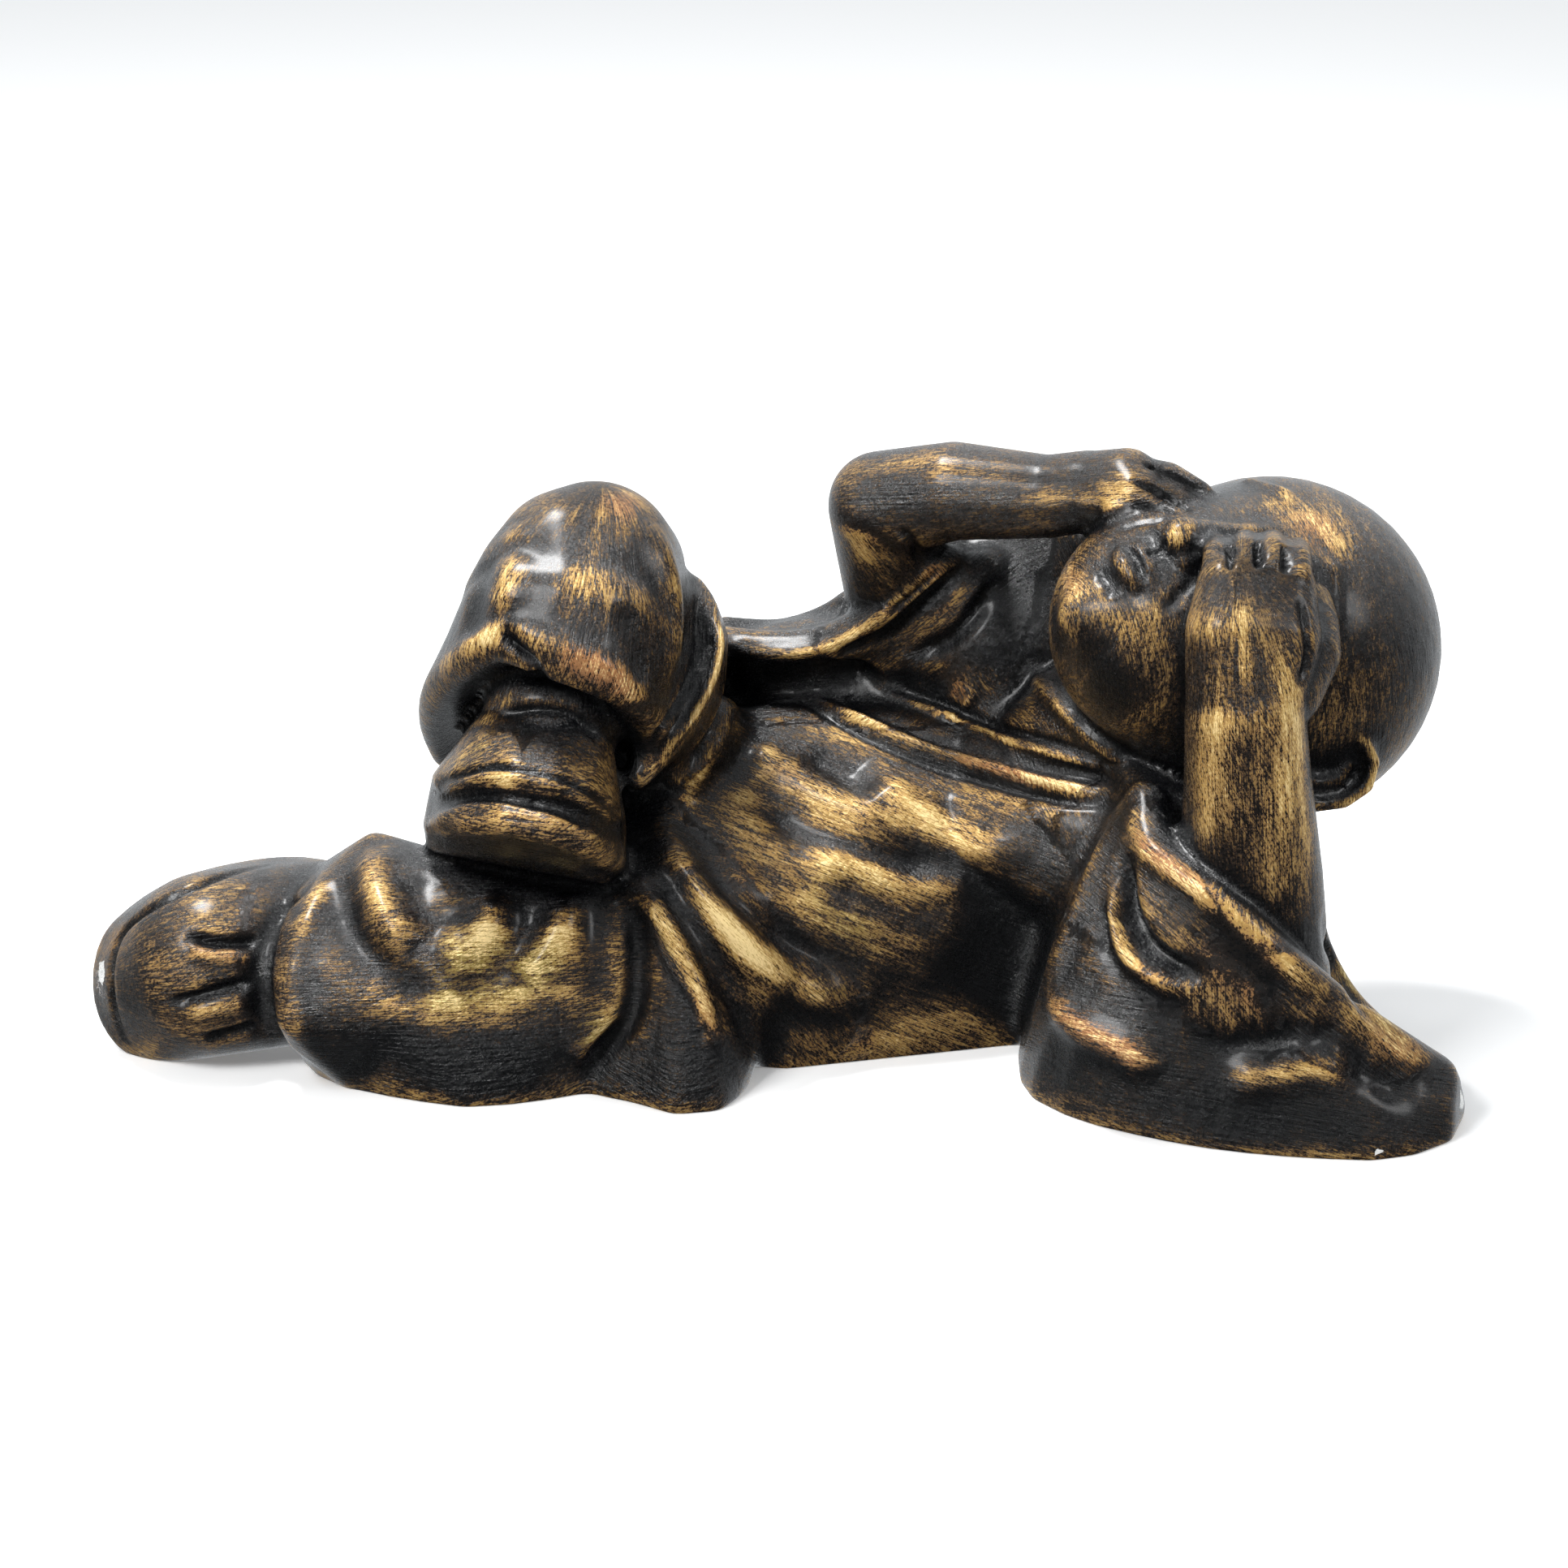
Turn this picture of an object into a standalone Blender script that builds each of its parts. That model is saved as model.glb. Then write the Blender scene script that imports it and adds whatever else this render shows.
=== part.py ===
# Reclining monk, a cast garden figure that lies on its back with both hands over its eyes.
# One solid in metres, +Z up, resting on its flat underside, its head towards +X.
# Every place and radius is in steps, and a step is one 620th of the figure's length.
import math

import bmesh
import bpy
import numpy as np
from mathutils import Matrix, Vector
from mathutils.bvhtree import BVHTree

LENGTH = 0.62
STEP = LENGTH / 620

# The skin: its mesh before thinning, the radius of its inner corners on cloth and on the whole
# figure, how far a fold of height 1 stands out, and about how many triangles it keeps.
CELL = 2.0 * STEP
CLOTH_FILLET = 6.0 * STEP
SKIN_FILLET = 3.5 * STEP
RELIEF = 1.4 * STEP
FACETS = 9900
WELD = 0.0001

# The head: its middle, the way to the crown and the way the face looks.
SKULL_AT = (220, 30, 183)
CROWN_WAY = (0.93, 0.33, 0.16)
FACE_WAY = (0.03, -0.50, 0.865)

# The near ear stands off the head by this angle.
EAR_FLARE = math.radians(35)

for thing in list(bpy.data.objects):
    bpy.data.objects.remove(thing)

# The front drawing that most places are read from: an eye far in front, looking down a little.
slope = math.radians(20)
forward = Vector((0, math.cos(slope), -math.sin(slope)))
upward = Vector((0, math.sin(slope), math.cos(slope)))
aim = Vector((0, 0, 128))
eye = aim - forward * 1900

crown = Vector(CROWN_WAY).normalized()
face = Vector(FACE_WAY)
face = (face - crown * face.dot(crown)).normalized()
near_side = crown.cross(face)


def at(x, y, z):
    return Vector((x, y, z))


def seen(across, up, depth):
    # The point at this depth that shows at (across, up) on the front drawing.
    way = aim + Vector((across, 0, 0)) + upward * up - eye
    return eye + way * ((depth - eye.y) / way.y)


def ground(across, up, lift=4):
    # The point just over the floor that shows at (across, up) on the front drawing.
    way = aim + Vector((across, 0, 0)) + upward * up - eye
    spot = eye - way * (eye.z / way.z)
    return Vector((spot.x, spot.y, lift))


def head(to_crown, to_face, to_near):
    # A place on the head, from the skull's middle.
    return Vector(SKULL_AT) + crown * to_crown + face * to_face + near_side * to_near


def lobe(to_crown, to_face, to_near, radius):
    # A ball on the head.
    return head(to_crown, to_face, to_near), radius


def ear(up, back, out, side):
    # A place on one ear's own plate; side is 1 for the near ear and -1 for the far one.
    away = near_side * side
    rear = away * math.sin(EAR_FLARE) - face * math.cos(EAR_FLARE)
    outer = away * math.cos(EAR_FLARE) + face * math.sin(EAR_FLARE)
    middle = head(-11, 5, 76 * side)
    return middle + crown * up + rear * back + outer * out


def curve(points, gap):
    # A smooth run through the points, sampled about every gap.
    knots = [2 * points[0] - points[1], *points, 2 * points[-1] - points[-2]]
    found = []
    for before, start, end, after in zip(knots, knots[1:], knots[2:], knots[3:]):
        count = max(2, int(np.linalg.norm(end - start) / gap) + 1)
        for share in np.arange(count) / count:
            line = 2 * start + (end - before) * share
            bend = (2 * before - 5 * start + 4 * end - after) * share ** 2
            twist = (3 * start - before - 3 * end + after) * share ** 3
            found.append((line + bend + twist) / 2)
    found.append(points[-1])
    return np.array(found)


def run(count, *balls):
    # This many balls evenly along a smooth run through the given ones.
    line = curve([np.array((*middle, radius)) for middle, radius in balls], 1.0)
    picks = np.linspace(0, len(line) - 1, count).round().astype(int)
    return [(Vector(line[pick][:3]), line[pick][3]) for pick in picks]


class Forms:
    # Rounded lumps, each the hull of a few balls given as (middle, radius).
    def __init__(self):
        self.shape = bmesh.new()

    def lump(self, *balls):
        one = bmesh.new()
        for middle, radius in balls:
            rings = 4 if radius > 22 else 3 if radius > 6 else 2
            place = Matrix.Translation(middle * STEP)
            bmesh.ops.create_icosphere(one, subdivisions=rings, radius=radius * STEP, matrix=place)
        bmesh.ops.delete(one, geom=one.edges[:], context="EDGES_FACES")
        found = bmesh.ops.convex_hull(one, input=one.verts)
        inner = set(found["geom_interior"]) | set(found["geom_unused"])
        spare = [part for part in inner if isinstance(part, bmesh.types.BMVert)]
        bmesh.ops.delete(one, geom=spare, context="VERTS")
        bmesh.ops.recalc_face_normals(one, faces=one.faces)
        mesh = bpy.data.meshes.new("lump")
        one.to_mesh(mesh)
        one.free()
        self.shape.from_mesh(mesh)
        bpy.data.meshes.remove(mesh)

    def limb(self, *balls):
        for first, second in zip(balls, balls[1:]):
            self.lump(first, second)

    def loft(self, first, second, *core):
        # A skin from one run of balls to another, filled towards the core.
        for balls in zip(first, first[1:], second, second[1:]):
            self.lump(*balls, *core)

    def take(self, thing):
        self.shape.from_mesh(thing.data)
        bpy.data.objects.remove(thing)

    def body(self, name):
        mesh = bpy.data.meshes.new(name)
        self.shape.to_mesh(mesh)
        self.shape.free()
        thing = bpy.data.objects.new(name, mesh)
        bpy.context.scene.collection.objects.link(thing)
        return thing


def fused(thing, fillet, soften):
    # Fuses the lumps in one skin and rounds every inner corner to the fillet radius.
    name = thing.name
    for swell in (0, fillet, -fillet):
        if swell:
            push = thing.modifiers.new("push", "DISPLACE")
            push.mid_level = 0
            push.strength = swell
        if swell < 0:
            break
        skin = thing.modifiers.new("skin", "REMESH")
        skin.mode = "VOXEL"
        skin.voxel_size = CELL
    ease = thing.modifiers.new("ease", "SMOOTH")
    ease.factor = 0.5
    ease.iterations = soften
    return settled(thing, name)


def one_body(thing):
    # Keeps the largest body; anything shut inside it or loose beside it goes.
    shape = bmesh.new()
    shape.from_mesh(thing.data)
    waiting = set(shape.verts)
    bodies = []
    while waiting:
        body = set()
        edge_of_body = [waiting.pop()]
        while edge_of_body:
            spot = edge_of_body.pop()
            body.add(spot)
            for edge in spot.link_edges:
                other = edge.other_vert(spot)
                if other in waiting:
                    waiting.remove(other)
                    edge_of_body.append(other)
        bodies.append(body)
    largest = max(bodies, key=len)
    spare = [spot for spot in shape.verts if spot not in largest]
    bmesh.ops.delete(shape, geom=spare, context="VERTS")
    shape.to_mesh(thing.data)
    shape.free()
    return thing


def settled(thing, name):
    view = bpy.context.evaluated_depsgraph_get()
    mesh = bpy.data.meshes.new_from_object(thing.evaluated_get(view), depsgraph=view)
    bpy.data.objects.remove(thing)
    done = bpy.data.objects.new(name, mesh)
    bpy.context.scene.collection.objects.link(done)
    return done


def add_trunk(cloth):
    cloth.lump(
        (at(100, 47, 50), 54), (at(0, 24, 50), 54), (at(115, 80, 88), 56), (at(0, 75, 84), 56),
        (at(100, 105, 50), 50), (at(0, 95, 50), 50), (at(100, 12, 2), 14), (at(0, -14, 2), 14),
    )
    cloth.lump(
        (at(145, 5, 98), 38), (at(100, 50, 80), 50), (at(125, 85, 110), 45),
        (at(105, 105, 130), 40),
    )
    cloth.lump(
        (at(0, 24, 50), 54), (at(0, 75, 84), 54), (at(-55, 20, 58), 56), (at(-55, 85, 75), 56),
        (at(-30, 90, 50), 50),
    )


def add_raised_leg(cloth):
    cloth.lump((at(-55, 75, 85), 50), (seen(-82.9, 90.3, 10), 36), (seen(-64.6, 60.9, 35), 30))
    # The shin and the knee under their cloth.
    cloth.lump(
        (seen(-85.5, 99.5, 0), 37), (seen(-97.6, 99.8, -8), 33), (seen(-110.5, 91.8, -12), 28),
        (seen(-118.9, 81.1, -10), 26), (seen(-122.6, 71.2, -5), 24), (seen(-73.4, 84.8, -15), 25),
        (seen(-67.5, 64.6, -22), 21), (seen(-97.6, 81.1, -36), 24), (seen(-97.6, 75.6, 50), 30),
        (seen(-77.4, 95.8, 25), 33), (seen(-117.4, 70.1, 35), 25),
    )
    # The trouser leg opens like a bell over the shoe.
    hem = run(
        22, (seen(-151.9, 14.7, 38), 8), (seen(-156, 25.3, 22), 8.5), (seen(-156.3, 36.7, 2), 9),
        (seen(-151.9, 47, -18), 9), (seen(-141.7, 57.3, -38), 9), (seen(-127, 64.6, -52), 9),
        (seen(-111.6, 58.7, -60), 9), (seen(-94, 52.8, -64), 9), (seen(-77.4, 45.9, -60), 9),
        (seen(-65.7, 37.4, -48), 9), (seen(-59.8, 28.6, -32), 9),
    )
    yoke = run(
        22, (seen(-131.4, 35.2, 55), 19), (seen(-133.6, 47, 35), 20), (seen(-132.1, 58, 10), 21),
        (seen(-128.4, 66.4, -8), 22), (seen(-123.3, 72.7, -18), 24), (seen(-116, 79.3, -30), 25),
        (seen(-101.3, 81.1, -37), 24), (seen(-88.4, 79.3, -38), 23), (seen(-77.4, 73.8, -34), 22),
        (seen(-70.1, 64.6, -24), 22), (seen(-66.4, 51.7, -5), 22),
    )
    cloth.loft(hem, yoke)
    cloth.lump(
        (seen(-131.4, 35.2, 55), 19), (seen(-140.9, 23.1, 50), 15), (seen(-97.6, 38.9, 60), 30),
    )
    cloth.lump(hem[-1], hem[-4], yoke[-1], (seen(-56.5, 32.3, 0), 16), (seen(-58.7, 22.4, -8), 12))
    # The robe's hem band round the thigh.
    band = run(
        14, (seen(-41.5, 89.5, 36), 5.5), (seen(-35.6, 80.7, 26), 5.5),
        (seen(-32.7, 67.5, 14), 5.5), (seen(-33.4, 53.6, 3), 5.5), (seen(-38.2, 39.6, -8), 5.5),
        (seen(-45.9, 26.8, -17), 5.5), (seen(-55.8, 14.7, -24), 5.5), (seen(-66.1, 2.9, -30), 5.5),
    )
    cloth.loft(band, band[1:] + band[-1:], (seen(-48.1, 42.6, 35), 22), (seen(-42.6, 64.6, 60), 18))


def add_near_leg(cloth):
    foot = run(
        9, (ground(-207, -123.3), 12), (ground(-201.5, -128.8), 12), (ground(-187.5, -134), 12),
        (ground(-163.7, -138.4), 12), (ground(-140.6, -141.3), 12), (ground(-116, -139.1), 12),
        (ground(-93.2, -135.4), 12),
    )
    cuff = run(
        9, (seen(-205.9, -41.8, 18), 7), (seen(-215.1, -53.9, -18), 7),
        (seen(-221.7, -71.2, -42), 7), (seen(-223.9, -91.4, -56), 7),
        (seen(-220.9, -109.7, -60), 7), (ground(-207, -123.3), 10),
    )
    cloth.lump((at(-45, 0, 50), 55), (at(-105, -10, 46), 52))
    cloth.lump((at(-105, -14, 46), 52), (at(-165, -16, 46), 53), *foot)
    cloth.lump(
        (at(-165, -16, 46), 53), (at(-195, 4, 44), 42), *cuff, (seen(-184.6, -29.4, 0), 8),
        foot[2],
    )
    # The skirt's fall between the leg and the trunk.
    fall = run(
        7, (ground(-76.3, -137.6), 11), (ground(-60.9, -140.2), 12), (ground(-45.5, -144.6), 12),
        (ground(-34.5, -142.8), 12), (ground(-26.8, -135.1), 12),
    )
    crest = run(
        7, (seen(-67.9, -48.4, -36), 7), (seen(-56.5, -60.2, -44), 7), (seen(-47, -78.5, -52), 8),
        (seen(-39.6, -96.9, -58), 8), (seen(-35.6, -115.2, -62), 9),
    )
    cloth.loft(crest, fall, (at(-35, 0, 50), 38))


def add_near_sleeve(cloth):
    core = (at(165, -30, 45), 26)
    rim = run(
        14, (seen(163.7, -7, -52), 9), (seen(165.9, -23.5, -70), 9), (seen(175.8, -36.7, -84), 9),
        (seen(192.3, -49.5, -98), 9), (seen(212.5, -68.3, -105), 9), (seen(232.7, -86.6, -105), 9),
        (seen(252.9, -103.5, -101), 9), (seen(273, -118.5, -95), 10),
        (seen(292.9, -133.6, -88), 12),
    )
    bulge = run(
        14, (seen(141.7, -49.2, -50), 10), (seen(129.2, -85.9, -60), 11), (seen(139.1, -108.6, -80), 12),
        (seen(159.3, -118.9, -93), 12), (seen(185, -127, -101), 12), (seen(212.5, -131.8, -106), 12),
        (seen(240, -134.3, -109), 12), (seen(265.7, -140.2, -107), 12), (seen(290.3, -146.8, -98), 13),
    )
    foot = run(
        14, (ground(119.3, -127), 14), (ground(122.2, -138), 14), (ground(139.1, -146.8), 14),
        (ground(159.3, -152.3), 14), (ground(188.6, -158.2), 14), (ground(218, -161.8), 14),
        (ground(247.4, -163.7), 14), (ground(271.2, -163.7), 14), (ground(289.2, -157.8), 14),
    )
    cloth.loft(rim, bulge, core)
    cloth.loft(bulge, foot, core)
    cloth.lump(rim[0], bulge[0], (at(150, 0, 60), 30), (at(125, -20, 4), 14), foot[0])
    # The near shoulder, under the chin and behind the forearm.
    cloth.lump(
        (seen(166.6, -8.8, -34), 12), (seen(157.4, 2.2, -4), 14), (seen(185, -7, -6), 14),
        (seen(196, -34.5, -30), 16), (at(150, 0, 60), 30), (at(150, 30, 90), 34),
    )
    cloth.lump(rim[-1], foot[-1], bulge[-1], (ground(293.6, -149), 14), (at(238, -50, 20), 18))
    # The panel behind the forearm.
    panel = run(
        10, (seen(232.7, -51, -35), 8), (seen(237.1, -65, -35), 8), (seen(243, -80.7, -36), 8),
        (seen(252.1, -96.5, -42), 8), (seen(265, -110.8, -54), 8), (seen(278.9, -122.6, -68), 9),
        (seen(292.1, -132.9, -82), 11),
    )
    base = run(
        10, (at(178, -5, 8), 16), (at(205, -12, 8), 16), (at(235, -26, 8), 16),
        (ground(292.1, -140.9), 14),
    )
    cloth.loft(panel, base, (at(190, -35, 25), 22))


def add_far_sleeve(cloth):
    cloth.lump(
        (seen(-22.4, 60.9, 104), 9), (seen(3.3, 59.8, 92), 10), (seen(30.8, 66.4, 104), 14),
        (seen(49.2, 64.6, 92), 16), (at(-30, 130, 4), 14), (at(100, 130, 4), 14),
        (at(100, 115, 100), 30),
    )
    cloth.lump(
        (seen(49.2, 66.4, 88), 14), (seen(73, 88.4, 78), 14), (seen(87.7, 84.8, 76), 12),
        (seen(91.4, 64.6, 90), 34), (seen(52.8, 68.3, 120), 20), (seen(82.2, 90.3, 110), 24),
    )
    cloth.lump(
        (seen(91.4, 64.6, 90), 34), (seen(107.9, 101.3, 105), 28), (seen(82.2, 97.6, 110), 24),
        (at(125, 85, 110), 45),
    )
    # Three long rolls of cloth sweep up to the raised arm.
    front_roll = run(
        12, (seen(-26.8, 63.9, 92), 8), (seen(-5.9, 60.9, 84), 9), (seen(16.1, 61.7, 80), 10),
        (seen(34.5, 69.7, 76), 10), (seen(51, 82.6, 71), 9.5), (seen(66.8, 95.4, 67), 9),
        (seen(75.6, 101.3, 70), 8),
    )
    lower_roll = run(
        8, (seen(34.5, 54.3, 90), 11), (seen(52.8, 60.9, 82), 12), (seen(71.2, 74.1, 75), 12),
        (seen(85.9, 88.8, 72), 11), (seen(91.8, 98.4, 76), 9),
    )
    rear_roll = run(
        8, (seen(-26.8, 69.4, 112), 7), (seen(-2.2, 67.2, 112), 8), (seen(19.8, 72.7, 112), 9),
        (seen(30.8, 80, 110), 9),
    )
    for roll in (front_roll, lower_roll, rear_roll):
        cloth.limb(*roll)
    # The cloth of the far shoulder rises behind the arm and closes the way between arm and face.
    cloth.lump(
        (seen(82.2, 101.3, 120), 22), (seen(122.6, 101.3, 104), 22), (seen(118.9, 64.6, 86), 30),
        (at(140, 90, 110), 40), (seen(67.5, 108.6, 104), 15), (seen(128.1, 110.8, 92), 14),
    )


def add_head(flesh):
    flesh.lump(lobe(0, 0, 0, 78), lobe(-52, 34, 0, 55))
    flesh.lump(
        lobe(-52, 34, 0, 54), lobe(-91, 55, 0, 17), lobe(-46, 58, 27, 24), lobe(-46, 58, -27, 24),
    )
    flesh.lump(lobe(-55, -20, 0, 42), (at(125, 55, 110), 42))
    # Nose, lips and ears on a plain set of proportions.
    flesh.limb(lobe(-4, 73, 0, 7.5), lobe(-28, 83, 0, 6.5), lobe(-53, 91.5, 0, 9.5))
    for side in (-1, 1):
        flesh.lump(lobe(-55, 86, 9 * side, 6.5), lobe(-52, 84, 4 * side, 7))
        flesh.limb(lobe(-71, 85, 0, 4), lobe(-71, 84, 6 * side, 4), lobe(-74.5, 79, 15 * side, 2.4))
        flesh.limb(
            lobe(-79.5, 83, 0, 4.6), lobe(-79, 82, 6 * side, 4.2),
            lobe(-75.5, 78.5, 14 * side, 2.4),
        )
        flesh.limb(lobe(3, 73, 7 * side, 5), lobe(9, 71, 24 * side, 5.5), lobe(3, 62, 42 * side, 5))
        rim = [
            (-5, -14), (9, -15), (20, -8), (23, 3), (18, 13), (6, 17), (-7, 15), (-18, 8),
            (-24, -1),
        ]
        plate = [(ear(up, back, -3, side), 4) for up, back in rim]
        flesh.lump(*plate, (ear(0, -6, -14, side), 10))
        flesh.limb(*[(ear(up, back, 4, side), 3.4) for up, back in rim])
        inner = [(11, 2), (5, 7), (-5, 6), (-12, 0)]
        flesh.limb(*[(ear(up, back, 2, side), 3) for up, back in inner])
        flesh.lump((ear(-20, -3, 1, side), 6), (ear(-14, 2, 0, side), 4))
        flesh.lump((ear(-5, -12, 1, side), 4.5), (ear(-11, -10, 0, side), 4))


def add_near_arm(flesh):
    flesh.limb(
        (seen(212.5, -91.4, -68), 34), (seen(211, -41.8, -72), 31.5),
        (seen(209.6, 2.2, -80), 27.5), (seen(208.5, 31.6, -82), 26),
    )
    flesh.lump(
        (seen(208.5, 31.6, -82), 25.5), (seen(200.7, 68.3, -78), 18.5),
        (seen(223.1, 66.4, -72), 19), (seen(200.4, 90.6, -67), 13), (seen(227.5, 88.8, -62), 12.5),
    )
    knuckles = [(195.6, 90.3), (208.5, 92.5), (220.6, 92.5), (231.9, 88.8)]
    for across, up in knuckles:
        flesh.limb(
            (seen(across, up - 4, -66), 7.4), (seen(across, up + 6, -65), 6.7),
            (seen(across, up + 13, -57), 6.2), (seen(across, up + 17, -38), 6),
        )
    # The thumb lies along the temple.
    flesh.limb(
        (seen(227.2, 42.6, -75), 16), (seen(238.9, 59.1, -64), 12.5),
        (seen(240.4, 71.2, -53), 10.5), (seen(238.5, 82.2, -40), 9),
    )


def add_far_arm(flesh):
    flesh.limb((at(105, 105, 145), 34), (seen(49.9, 90.3, 90), 24), (seen(44, 125.1, 72), 24.5))
    flesh.limb(
        (seen(44, 126.6, 72), 24.5), (seen(76.7, 132.5, 55), 22.5), (seen(118.9, 129.9, 40), 19),
        (seen(137.3, 132.5, 32), 18.5),
    )
    flesh.lump(
        (seen(137.3, 132.5, 32), 18), (seen(154.9, 136.5, 22), 15.5), (seen(159.3, 129.9, 10), 13),
        (seen(153.8, 127.7, 20), 14),
    )
    flesh.limb(
        (seen(157.4, 140.6, 25), 8.2), (seen(174, 138, 20), 7.6), (seen(187.9, 130.7, 15), 6.4),
    )
    flesh.limb(
        (seen(157.4, 133.2, 12), 8.2), (seen(172.1, 129.2, 8), 7.6), (seen(186.4, 122.9, 4), 6.4),
    )
    flesh.limb(
        (seen(151.9, 124.8, 6), 8.4), (seen(166.6, 121.1, 0), 7.8), (seen(175.4, 117.8, -4), 6.6),
    )


def add_feet(flesh):
    edge = run(
        26, (seen(-207, -39.6, 42), 5.5), (seen(-220.6, -37.8, 40), 5.5),
        (seen(-235.2, -38.5, 36), 5.5), (seen(-249.9, -41.1, 30), 5.5),
        (seen(-264.6, -45.1, 25), 5.5), (seen(-279.3, -51, 20), 5.5),
        (seen(-292.1, -59.1, 15), 5.5), (seen(-302, -68.6, 9), 5.5), (seen(-306.8, -80.7, 5), 5.5),
        (seen(-307.2, -94, 1), 5.5), (seen(-303.9, -106.1, -3), 5.5),
        (seen(-296.9, -115.6, -6), 5.5), (seen(-286.3, -122.2, -9), 5.5),
    )
    flesh.lump(
        (at(-262, -4, 42), 42.5), (at(-215, 18, 48), 34), (at(-278, 0, 36), 34),
        (at(-220, -6, 40), 34), *edge,
    )
    flesh.limb(*edge)
    # The raised foot: sock, toe cap, side band and the sole under it.
    flesh.limb((seen(-101.3, 42.6, -20), 28), (seen(-105, 28.6, -28), 31))
    seam = run(
        12, (seen(-152.3, 1.5, -15), 7), (seen(-150.5, 1.5, -50), 7), (seen(-134.3, 2.9, -74), 7),
        (seen(-116, 1.5, -84), 7), (seen(-97.6, -3.7, -82), 7), (seen(-82.9, -12.5, -62), 7),
        (seen(-78.5, -16.1, -20), 7),
    )
    band = run(
        12, (seen(-156, -18, -12), 7), (seen(-154.5, -18, -52), 7), (seen(-137.3, -16.1, -80), 7),
        (seen(-116, -17.6, -92), 7), (seen(-95.8, -23.5, -89), 7), (seen(-81.1, -31.9, -66), 7),
        (seen(-77.8, -36, -20), 7),
    )
    sole = run(
        12, (seen(-157.8, -25.7, -8), 4), (seen(-156.3, -27.2, -40), 4),
        (seen(-138, -28.6, -62), 4), (seen(-116, -30.5, -72), 4), (seen(-95.8, -34.5, -70), 4),
        (seen(-82.9, -40.4, -50), 4), (seen(-79.3, -41.8, -12), 4),
    )
    back = (seen(-116, -7, 0), 26)
    flesh.lump(
        (seen(-119.6, 11, -42), 26), (seen(-103.1, 9.5, -44), 26), (seen(-114.1, 13.2, 0), 30),
        *seam,
    )
    flesh.lump(*seam, back)
    flesh.lump(*band, back, *seam[:1], *seam[-1:])
    flesh.limb(*band)
    flesh.lump(*sole, *band[:1], *band[-1:], back)
    flesh.lump(*[(middle + Vector((0, 6, 0)), radius) for middle, radius in band], *sole)


class Carving:
    # Ridges and grooves drawn on the skin along lines of the front drawing or along lines in space.
    def __init__(self, thing):
        self.thing = thing
        self.spots = np.array([spot.co[:] for spot in thing.data.vertices])
        self.out = np.array([spot.normal[:] for spot in thing.data.vertices])
        self.skin = BVHTree.FromObject(thing, bpy.context.evaluated_depsgraph_get())

    def line(self, marks):
        # The line on the skin under these marks, two numbers for the drawing and three in space.
        points = curve([np.array(mark, float) for mark in marks], 2.0)
        found = []
        for point in points:
            if len(point) == 2:
                start = eye * STEP
                way = seen(point[0], point[1], 0) * STEP - start
                hit = self.skin.ray_cast(start, way.normalized())[0]
            else:
                hit = self.skin.find_nearest(Vector(point) * STEP)[0]
            if hit:
                found.append(hit[:])
        return np.array(found)

    def mark(self, marks, width, height, sharp=False, taper=0.2):
        path = self.line(marks)
        reach = 3 * width * STEP
        inside = (self.spots > path.min(0) - reach) & (self.spots < path.max(0) + reach)
        chosen = np.nonzero(inside.all(1))[0]
        near = self.spots[chosen]
        nearest = np.full(len(near), 1.0)
        share = np.zeros(len(near))
        for index in range(len(path) - 1):
            start = path[index]
            stretch = path[index + 1] - start
            along = np.clip((near - start) @ stretch / max(stretch @ stretch, 1e-12), 0, 1)
            gap = np.linalg.norm(near - start - along[:, None] * stretch, axis=1)
            closer = gap < nearest
            nearest[closer] = gap[closer]
            share[closer] = (index + along[closer]) / (len(path) - 1)
        gap = nearest / (width * STEP)
        shape = np.exp(-1.6 * gap) if sharp else np.exp(-gap ** 2)
        fade = np.clip(np.minimum(share, 1 - share) / taper, 0, 1) if taper else 1
        lift = RELIEF * height * shape * fade
        self.spots[chosen] += self.out[chosen] * lift[:, None]

    def apply(self):
        for spot, place in zip(self.thing.data.vertices, self.spots):
            spot.co = place


def carve_raised_leg(skin):
    skin.mark([(-119.6, 119.6), (-124, 97.6), (-127.7, 74.9)], 9, 2.8)
    skin.mark([(-134.3, 101.3), (-139.8, 79.3), (-141.7, 64.6)], 9, -2)
    skin.mark([(-60.9, 119.6), (-50.6, 92.1), (-49.9, 68.3), (-56.5, 42.6)], 8, 2.8)
    skin.mark([(-71.9, 82.9), (-66.4, 60.9), (-64.6, 44.4)], 7, -1.6)
    skin.mark(
        [(-156.3, 48.1), (-146.1, 59.1), (-127, 69.7), (-105, 63.9), (-81.1, 53.6), (-60.9, 39.6)],
        6, 1.8,
    )
    skin.mark([(-128.4, 70.5), (-119.6, 60.9), (-109.4, 47)], 3.4, -6)
    skin.mark([(-39.6, 84.8), (-37.4, 71.9), (-38.2, 57.3), (-45.5, 38.2), (-61.7, 16.1)], 3, -5)
    skin.mark([(-33.8, 73.8), (-34.5, 55.4), (-42.6, 34.5), (-58.7, 12.5)], 2.2, -2.4)
    skin.mark([(-30.8, 77.4), (-30.1, 60.9), (-36, 41.8), (-54.3, 13.2)], 2.6, 3)
    skin.mark([(-25, 60.9), (-25.7, 38.2), (-36, 18.7), (-48.1, 2.2)], 5, -5)


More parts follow.
